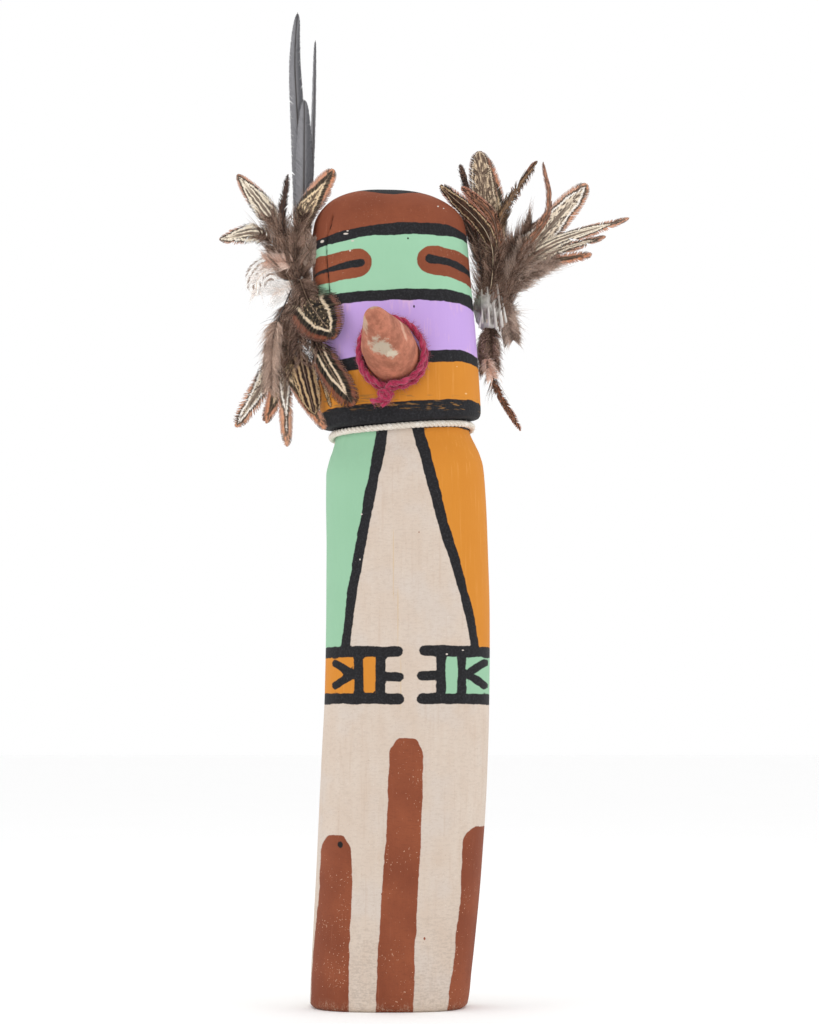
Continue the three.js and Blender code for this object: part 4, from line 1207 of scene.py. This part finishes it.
# Each feather: the look of its vane, then what differs from a neat one.
feathers = {
    "left_black_long": ("blackTail", {"split": 0.006, "ragged": 0.03, "groups": 10, "fluff": 0.04}),
    "left_black_middle": ("blackTail", {"split": 0.004, "ragged": 0.03, "groups": 7, "fluff": 0.05}),
    "left_black_thin": ("blackTail", {"split": 0.01, "ragged": 0.06, "groups": 12, "fluff": 0.05}),
    "left_upright": ("rustEdged", {"down": 200}),
    "left_upright_pale": ("paleGrey", {"split": 0.05, "down": 150}),
    "left_outward": ("striped", {"split": 0.03, "down": 170}),
    "left_wisp": ("darkBrown", {"split": 0.09, "ragged": 0.4, "down": 150}),
    "left_sideways": ("striped", {"split": 0.05, "ragged": 0.2, "down": 150}),
    "left_curled": ("whiteCurl", {"split": 0.03, "fluff": 0.0, "down": 90, "downLength": 5.0, "start": 0.24,
                                  "half": 6.6, "fluffs": "white"}),
    "left_cheek_broad": ("flecked", {"down": 160, "lean": 0.45, "start": 0.02, "half": 10.4,
                                     "tipward": 1.2}),
    "left_cheek_under": ("darkBrown", {"down": 150}),
    "left_cheek_long": ("flecked", {"down": 120}),
    "left_cheek_thin": ("darkCream", {"down": 0}),
    "left_hanging_dark": ("darkCream", {"down": 160}),
    "left_hanging_rust": ("rustEdged", {"down": 110}),
    "left_hanging_edge": ("rustStrip", {"down": 120}),
    "left_hanging_fork": ("paleFlecked", {"split": 0.06, "down": 120}),
    "left_hanging_cream": ("rustEdged", {"split": 0.04, "down": 150}),
    "left_hanging_thin": ("rustStrip", {"split": 0.05, "down": 120}),
    "left_hanging_outer": ("paleFlecked", {"split": 0.08, "ragged": 0.2, "down": 160}),
    "left_plume": ("darkBrown", {"plume": True, "down": 720, "downLength": 6.0, "fluffs": "grey",
                                 "slim": 0.35, "downFrom": 0.34}),
    "right_tall": ("streaked", {"down": 150}),
    "right_tall_behind": ("rustEdged", {"down": 150}),
    "right_over_head": ("rustDark", {"down": 120}),
    "right_over_head_short": ("rustStrip", {"split": 0.04, "down": 100}),
    "right_frayed": ("darkBrown", {"split": 0.35, "ragged": 0.8, "wave": 1.6, "down": 90}),
    "right_beside_head": ("darkBrown", {"split": 0.05, "down": 80}),
    "right_olive": ("olive", {"split": 0.24, "ragged": 0.5, "down": 150}),
    "right_rust_bow": ("rustStrip", {"split": 0.04, "down": 130}),
    "right_rounded": ("paleFlecked", {"down": 160}),
    "right_slender": ("striped", {"split": 0.06, "down": 150}),
    "right_split": ("striped", {"split": 0.14, "ragged": 0.3, "down": 120}),
    "right_low": ("rustEdged", {"split": 0.08, "ragged": 0.2, "down": 120}),
    "right_plume_up": ("darkBrown", {"plume": True, "down": 620}),
    "right_plume_side": ("darkBrown", {"plume": True, "down": 560, "fluffs": "tawny"}),
    "right_plume_drooping": ("darkBrown", {"plume": True, "down": 620, "downLength": 5.5, "shrink": 0.68,
                                           "fluffs": "tawny"}),
    "right_plume_down": ("darkBrown", {"plume": True, "down": 620, "downLength": 5.5, "shrink": 0.82}),
    "right_hanging": ("rustStrip", {"split": 0.05, "down": 40}),
}

# Loose down that packs the tufts: from, to, strands, their length, how far they lift, and its colour.
muffs = {
    "left_upright": [((-32.5, -12.5, 266), (-34.5, -11, 300), 620, 7.5, 0.9, "brown")],
    "left_upright_pale": [((-31, -13, 284), (-29, -13, 296), 240, 6.0, 0.6, "tawny")],
    "left_sideways": [((-37, -9, 280), (-44, -9, 292), 260, 7.0, 0.8, "brown"),
                      ((-37, -14, 286), (-47, -12, 287), 320, 5.4, 0.7, "peach")],
    "left_curled": [((-36, -4, 280), (-45, -4, 275), 420, 6.0, 0.9, "white")],
    "left_cheek_broad": [((-33, -15, 277), (-28, -16, 273), 200, 5.0, 0.7, "brown")],
    "left_plume": [((-37, -12, 258), (-45.5, -10, 236), 380, 6.5, 0.9, "grey"),
                   ((-35, -13, 273), (-37, -12, 262), 200, 5.0, 0.8, "tawny")],
    "right_rust_bow": [((41, -2, 276), (50, 0, 297), 460, 8.0, 0.8, "brown"),
                       ((47, -4, 281), (53, -2, 295), 240, 5.5, 0.7, "tawny")],
    "right_slender": [((48, -3, 282), (58, -2, 292), 260, 6.0, 0.8, "tawny")],
    "right_low": [((44, -1, 277), (66, 2, 295), 380, 6.5, 0.7, "brown"),
                  ((48, -2, 277), (66, 0, 290), 300, 6.0, 0.6, "tawny")],
    "right_plume_side": [((45, -1, 274), (49, 0, 258), 360, 6.0, 0.9, "tawny")],
    "right_plume_down": [((40, -1, 263), (41, 0, 247), 420, 6.0, 0.9, "brown"),
                         ((38, -2, 250), (41, -1, 243), 120, 4.5, 0.7, "peach")],
}


def dressVane(node, number, look, odd):  # its ways, its rib line, and what its trees are given
    plume = "plume" in odd
    ways = {**neat, **(plumed if plume else {}), **odd}
    run, values, bare, length = ribLine(node)
    run = run[0] + (run - run[0]) * ways["shrink"]
    if "start" in ways:  # a vane fuller than its CAD outline
        bare = ways["start"]
        t = np.clip((np.linspace(0, 1, len(run)) - bare) / (1 - bare), 0, 1)
        values["reach"] = np.sin(math.pi * t ** ways["tipward"]) ** 0.6 * ways["half"] * mm
    if "slim" in ways:  # a plume that starts narrow
        values["reach"] *= np.clip(ways["slim"] + np.linspace(0, 1.3, len(run)), 0, 1)
    vaneLength = length * (1 - bare)
    widest = float(values["reach"].max())
    barbs = {
        "Barbs per side": 12 if plume else max(24, int(vaneLength / (ways["spacing"] * mm))),
        "Bare share": bare, "Lean": min(0.6, ways["lean"] * widest / vaneLength), "Split": ways["split"],
        "Groups": float(ways["groups"]), "Ragged": ways["ragged"], "Fluff share": ways["fluff"],
        "Fluff reach": ways["fluffReach"], "Fluff wave": ways["fluffWave"] * mm, "Wave": ways["wave"] * mm,
        "Rib radius": (0.5 if look == "blackTail" else ways["rib"]) * mm, "Vane length": vaneLength,
        "Seed": 100 + number,
    }
    down = {
        "Strands": ways["down"], "From share": ways.get("downFrom", bare * ways["downAt"]),
        "To share": 0.95 if plume or look == "whiteCurl" else bare + 0.32,
        "Length": ways["downLength"] * mm,
        "Spread": ways["spread"], "Forward": ways["forward"], "Seed": 300 + number,
    }
    return ways, run, values, barbs, down


def makeFeathers():
    barbs, down = barbTree(), downTree()
    vanes = {name: vaneFinish(name + "Vane", look) for name, look in vaneLooks.items()}
    fluffs = {name: downFinish(*look) for name, look in downs.items()}
    darkRib = ribFinish("darkRib", (44, 40, 40), (78, 72, 70))
    creamRib = ribFinish("creamRib", (206, 180, 146), (232, 214, 188))
    brownRib = ribFinish("brownRib", (104, 80, 66), (164, 136, 114))
    ribs = {"blackTail": darkRib, "darkBrown": darkRib, "rustDark": creamRib, "whiteCurl": creamRib}
    slots = {"blackTail": "black_feather", "whiteCurl": "white_feather"}
    for number, (node, (look, odd)) in enumerate(feathers.items()):
        ways, run, values, barbWays, downWays = dressVane(node, number, look, odd)
        finishes = {"Vane finish": vanes[look], "Rib finish": ribs.get(look, brownRib)}
        parts = [grow(lineObject(node + "_vane", run, values), barbs, {**barbWays, **finishes})]
        if ways["down"]:
            tuft = lineObject(node + "_down", run, values)
            parts.append(grow(tuft, down, {**downWays, "Down finish": fluffs[ways["fluffs"]]}))
        for start, end, strands, long, wide, fluff in muffs.get(node, ()):
            ends = np.array([start, end]) * mm
            way = (ends[1] - ends[0]) / np.linalg.norm(ends[1] - ends[0])
            line = np.linspace(*ends, 12)
            level = {"across": [(-way[2], 0, way[0])] * 12, "facing": [(0, -1, 0)] * 12}
            parts.append(grow(lineObject(node + "_muff", line, level), down, {
                "Strands": strands, "From share": 0.0, "To share": 1.0, "Length": long * mm,
                "Wave": 2.6 * mm, "Spread": wide, "Forward": 0.7, "Seed": 500 + number + strands,
                "Down finish": fluffs[fluff],
            }))
        piece = joinPieces(node + "_feather", parts)
        stands(piece, slots.get(look, "down" if "plume" in odd else "pheasant_feather"), node)
        yield piece


allFeathers = list(makeFeathers())
print("stage 6: feathers,", sum(len(p.data.polygons) for p in allFeathers), "faces")


glue = {
    "left_glue": {"centre": (-33.4, -9.0, 276.2), "radii": (4.6, 5.4, 4.8)},
    "right_glue": {"centre": (39.4, 0.4, 270.6), "radii": (5.8, 7.6, 8.6)},
    "sides": 48, "rows": 30, "clear": 0.25 * mm,  # how far the glue stays off the wood
}
quillEnds = [  # start, end and radius of each cut quill that shows in the glue
    ((36.6, -5.6, 277), (36.8, -6.6, 263.4), 0.42), ((38.8, -6.0, 278), (39.4, -7.2, 262.4), 0.5),
    ((40.9, -5.9, 276), (42.2, -6.8, 261.2), 0.56), ((42.6, -5.2, 279), (44.6, -5.4, 262.0), 0.62),
    ((44.2, -4.0, 275), (46.2, -4.2, 264.0), 0.5), ((37.6, -5.8, 272), (35.6, -6.4, 261.6), 0.4),
]


def glueFinish():
    pen, place = newFinish("driedGlue")
    cloudy = pen.cloud(place, 240.0, 3.0, 0.6)
    bubbles = pen.cloud(place, 1400.0)
    shade = pen.mixed(cloudy.ramp(0.3, 0.7), colour(150, 140, 132), colour(216, 212, 206))
    shade = pen.washed(shade, bubbles, (0.62, 0.72), 0.5, 244, 243, 241)
    normal = bumped(pen, cloudy + bubbles * 0.4, 0.0006, 0.6)
    return dressFinish(pen, shade, 0.22 + cloudy * 0.2, normal, 0.62 + cloudy.ramp(0.35, 0.7) * 0.3,
                       **{"Coat Weight": 0.6, "Coat Roughness": 0.12, "Transmission Weight": 0.25})


def dabOfGlue(name, finish):
    centre, radii = Vector(glue[name]["centre"]) * mm, Vector(glue[name]["radii"]) * mm
    sides, rows = glue["sides"], glue["rows"]
    places = []
    for row in range(1, rows):
        polar = math.pi * row / rows
        wide = math.sin(polar)
        for turn in turnsRound(sides):
            out = Vector((wide * math.cos(turn), wide * math.sin(turn), -math.cos(polar)))
            place = centre + Vector([a * b for a, b in zip(out, radii)])
            ridge = Vector((place.x, place.y, place.z * 0.25))
            place += out * (noise.noise(place * 330) * 0.9 + noise.noise(ridge * 700) * 0.9) * mm
            near, normal = rootSurface.find_nearest(place)[:2]
            if normal.dot(place - near) < glue["clear"]:
                place = near + normal * glue["clear"]
            places.append(place)
    places += [centre - Vector((0, 0, radii.z)), centre + Vector((0, 0, radii.z))]
    return meshPiece(name + "_dab", places, sheath(rows - 1, sides), finish)


def cutQuills(finish):
    rows, sides = 14, 10
    for start, end, radius in quillEnds:
        start, end = Vector(start) * mm, Vector(end) * mm
        along = (end - start).normalized()
        over = along.cross(Vector((0, 1, 0))).normalized()
        out = along.cross(over)
        places = []
        for row in range(rows):
            share = row / (rows - 1)
            middle = start.lerp(end, share) + out * math.sin(math.pi * share) * 0.5 * mm
            wide = radius * (0.55 + 0.6 * share) * (0.75 if row == rows - 1 else 1.0) * mm
            for turn in turnsRound(sides):
                places.append(middle + (over * math.cos(turn) + out * math.sin(turn)) * wide)
        places += [start - along * 0.2 * mm, end + along * 0.15 * mm]
        yield meshPiece("quill_end", places, sheath(rows, sides), finish)


clearGlue = glueFinish()
paleQuill = ribFinish("paleQuill", (150, 142, 134), (232, 228, 222))
for dab in ("left_glue", "right_glue"):
    lump = dabOfGlue(dab, clearGlue)
    if dab == "right_glue":
        lump = joinPieces(lump.name, [lump] + list(cutQuills(paleQuill)))
    stands(lump, "clear_glue", dab)
print("stage 7: glue")
